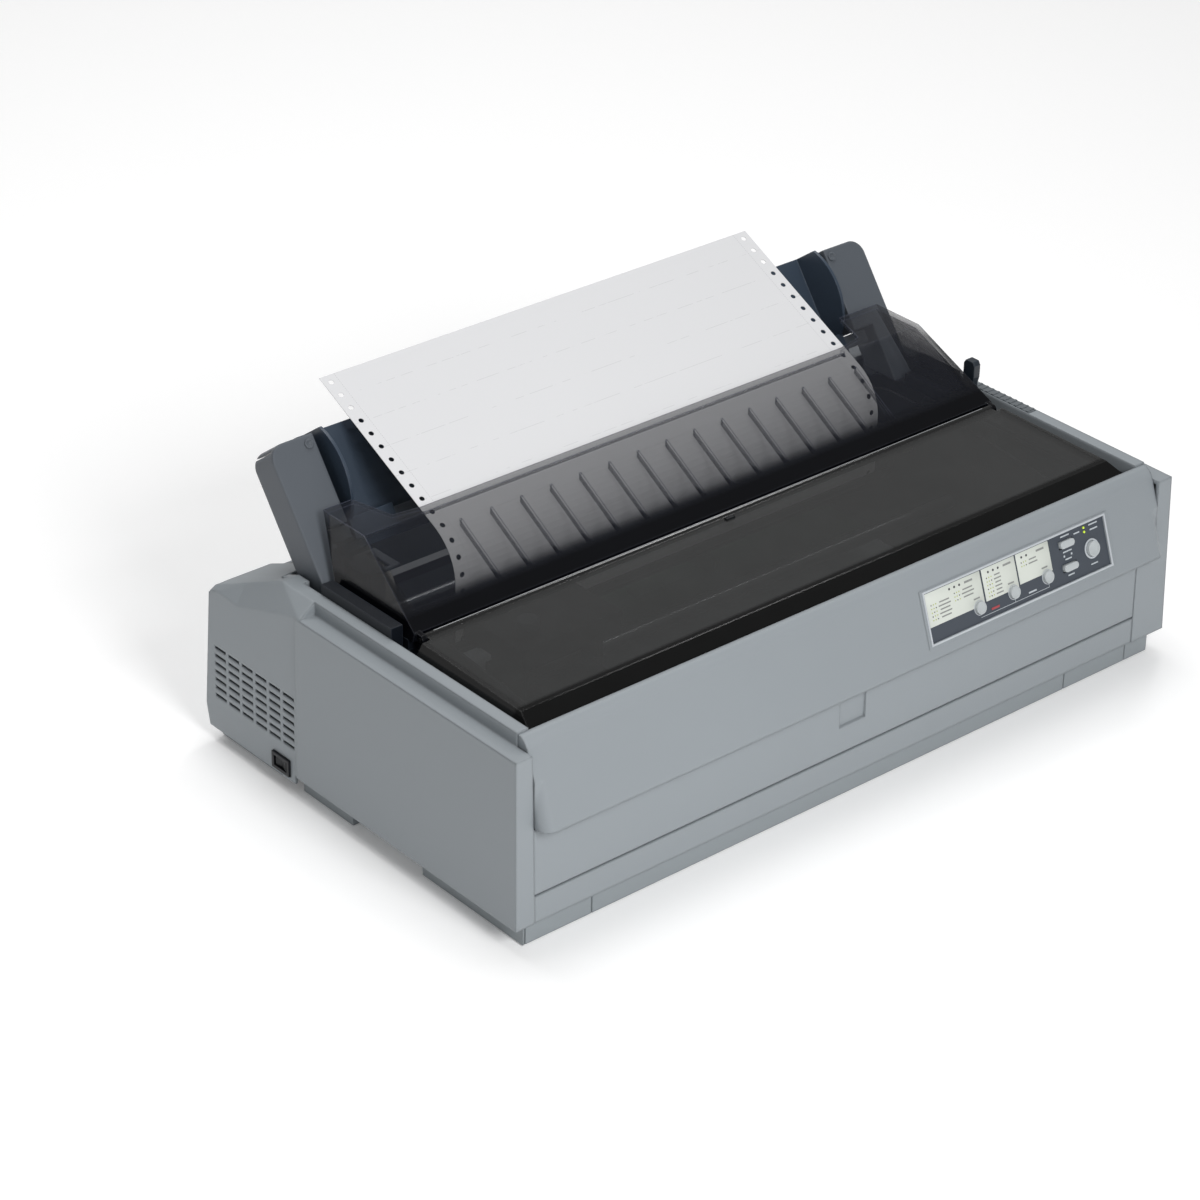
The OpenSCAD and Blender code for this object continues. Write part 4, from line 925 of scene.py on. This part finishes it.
@dataclass
class SmokedCovers(SubAssembly):
    """Front cover and rear shield."""

    def build(self) -> None:
        """Dresses both covers."""
        self.dress(("front_cover",), SMOKE)
        self.dress(("rear_shield",), SMOKE_CLEAR)
        self._latch()

    def _latch(self) -> None:
        """The small catch in the middle of the hinge and a pale strip along it, a painted
        highlight of the hinge's gloss.
        """
        catch = Bench.block("hinge_catch", (8.0, 3.0, 1.8), row(0.0, 144.8, 159.4) / MM)
        Bench.pick(catch, lambda centre, normal: normal.z > 0.9)
        bpy.ops.mesh.inset(thickness=0.6 * MM)
        Bench.push((0.0, 0.0, -0.5))
        Bench.leave()
        Bench.round_off(catch, 0.25, 2)
        self.fit(catch, BLACK, Slot.BLACK, "cover")
        # Painted highlight: a pale strip along the hinge, standing in for the light caught on it.
        painted_highlight = Bench.block("hinge_painted_highlight", (526.0, 0.7, 0.5), row(0.0, 151.2, 160.4) / MM)
        Bench.round_off(painted_highlight, 0.2, 2)
        self.fit(painted_highlight, HINGE_PAINTED_HIGHLIGHT, Slot.SMOKED, "cover")


@dataclass
class GuideWork(SubAssembly):
    """The fold-back guide arms, the edge guides and the release lever."""

    body: str = "guide"

    def build(self) -> None:
        """Dresses the guide and the lever."""
        self.dress(("paper_guide",), ARM)
        self.dress(("edge_guide_left", "edge_guide_right"), GUIDE_BLUE)
        self.dress(("release_lever",), LEVER)
        self._bosses()

    def _bosses(self) -> None:
        """The round boss at the inner top corner of each arm."""
        boss = Bench.disc("boss_pattern", 3.6, -0.6, 1.1, 32)
        Bench.pick(boss, lambda centre, normal: normal.z > 0.9)
        bpy.ops.mesh.inset(thickness=1.4 * MM)
        Bench.push((0.0, 0.0, -0.7))
        Bench.leave()
        Bench.round_off(boss, 0.3, 2)
        for side, x in (("left", -249.6), ("right", 249.6)):
            self.fit(Bench.copy(boss, f"arm_boss_{side}", guide_matrix(x, 105.5)), ARM, Slot.ARM)
        Bench.drop(boss)


@dataclass
class FormSheet(SubAssembly):
    """The loaded form."""

    def build(self) -> None:
        """Dresses the sheet."""
        self.dress(("paper_sheet",), PAPER)


@dataclass
class PrintWorks(SubAssembly):
    """Everything under the covers."""

    def build(self) -> None:
        """Dresses the mechanism and the electrics."""
        # The frame gets the darkened steel, painted shade for the inside of the case.
        self.dress(("frame_left", "frame_right", "cross_beams"), STEEL_SHADED)
        self.dress(("platen_shaft", "tractor_shaft", "tractor_bar", "carriage_rails",
                    "carriage_motor", "print_head", "power_supply"), STEEL)
        self.dress(("platen_bushes", "motor_pinion", "drive_pulley"), BRASS)
        self.dress(("platen_gear", "idler_gear", "tractor_gear", "idler_pulley",
                    "sprocket_left", "sprocket_right"), GEAR)
        self.dress(("platen_roller",), RUBBER)
        self.dress(("feed_motor", "tractor_left", "tractor_right", "carriage", "platen_knob",
                    "ribbon_cartridge", "carriage_belt", "paper_pan"), BLACK)
        self.dress(("tractor_lid_left", "tractor_lid_right", "ribbon_knob"), ARM)
        self.dress(("main_board",), BOARD)


@dataclass
class Studio:
    """Floor, lights, sky and camera."""

    azimuth: float = 41.044
    elevation: float = 29.891
    roll: float = -1.066
    focal_px: float = 3637.6
    frame_px: float = 1200.0
    place: Point = (-1.56248, -1.68161, 1.39735)

    def build(self) -> None:
        """Sets up the studio."""
        self._floor()
        self._sky()
        self._lamp("key", (-0.45, -2.0, 1.5), 9.6, 0.9, (-0.28, -0.15, 0.08), 90.0)
        self._lamp("top", (0.3, 0.7, 3.0), 34.0, 1.9, (0.0, 0.0, 0.1), 180.0)
        self._lamp("right", (1.71, 0.95, 2.35), 8.0, 0.5, (0.0, 0.0, 0.1), 180.0)
        self._lamp("back", (-0.2, 1.9, 2.3), 7.0, 1.0, (0.0, 0.0, 0.1), 180.0)
        self._camera()
        bpy.context.scene.view_settings.view_transform = "Standard"

    def _floor(self) -> None:
        """A plain pale floor."""
        Bench.clear()
        bpy.ops.mesh.primitive_plane_add(size=14.0)
        floor = bpy.context.active_object
        floor.name = "floor"
        paint = bpy.data.materials.new("floor_pale")
        paint.use_nodes = True
        shader = paint.node_tree.nodes["Principled BSDF"]
        shader.inputs["Base Color"].default_value = (0.96, 0.96, 0.96, 1.0)
        shader.inputs["Roughness"].default_value = 0.9
        shader.inputs["Emission Color"].default_value = (1.0, 1.0, 1.0, 1.0)
        shader.inputs["Emission Strength"].default_value = 0.10
        floor.data.materials.append(paint)

    @staticmethod
    def _sky() -> None:
        """A plain white surround."""
        world = bpy.data.worlds.new("surround")
        world.use_nodes = True
        sky = world.node_tree.nodes["Background"]
        sky.inputs["Color"].default_value = (1.0, 1.0, 1.0, 1.0)
        sky.inputs["Strength"].default_value = 0.33
        bpy.context.scene.world = world

    @staticmethod
    def _lamp(name: str, place: Point, power: float, size: float, target: Point,
              spread: float) -> None:
        """A soft square lamp.

        Args:
            name: Name of the lamp.
            place: Where it stands, in metres.
            power: Its power in watts.
            size: Its side in metres.
            target: The point that it is aimed at.
            spread: Angle of its beam in degrees.
        """
        lamp = bpy.data.lights.new(name, "AREA")
        lamp.energy = power
        lamp.size = size
        lamp.spread = math.radians(spread)
        holder = bpy.data.objects.new(name, lamp)
        holder.location = place
        aim = Vector(target) - Vector(place)
        holder.rotation_euler = aim.to_track_quat("-Z", "Y").to_euler()
        bpy.context.scene.collection.objects.link(holder)

    def _camera(self) -> None:
        """The camera, from its angles and place."""
        turn, rise, roll = (math.radians(a) for a in (self.azimuth, self.elevation, self.roll))
        view = Vector((math.sin(turn) * math.cos(rise), math.cos(turn) * math.cos(rise),
                       -math.sin(rise)))
        flat = view.cross(Vector((0.0, 0.0, 1.0))).normalized()
        down = view.cross(flat)
        right = flat * math.cos(roll) + down * math.sin(roll)
        low = down * math.cos(roll) - flat * math.sin(roll)
        lens = bpy.data.cameras.new("camera")
        lens.sensor_width = 36.0
        lens.lens = self.focal_px / self.frame_px * lens.sensor_width
        lens.clip_end = 40.0
        camera = bpy.data.objects.new("camera", lens)
        axes = Matrix((right, -low, -view)).transposed().to_4x4()
        camera.matrix_world = Matrix.Translation(self.place) @ axes
        bpy.context.scene.collection.objects.link(camera)
        bpy.context.scene.camera = camera


def main() -> None:
    """Builds the sub-assemblies in order, then the studio."""
    logging.basicConfig(level=logging.INFO, format="%(message)s")
    shop = MaterialShop()
    for part in (CaseWork(shop), ControlPanel(shop), SmokedCovers(shop), GuideWork(shop),
                 FormSheet(shop), PrintWorks(shop)):
        part.build()
        LOG.info("built %s", type(part).__name__)
    Studio().build()


if __name__ == "__main__":
    main()
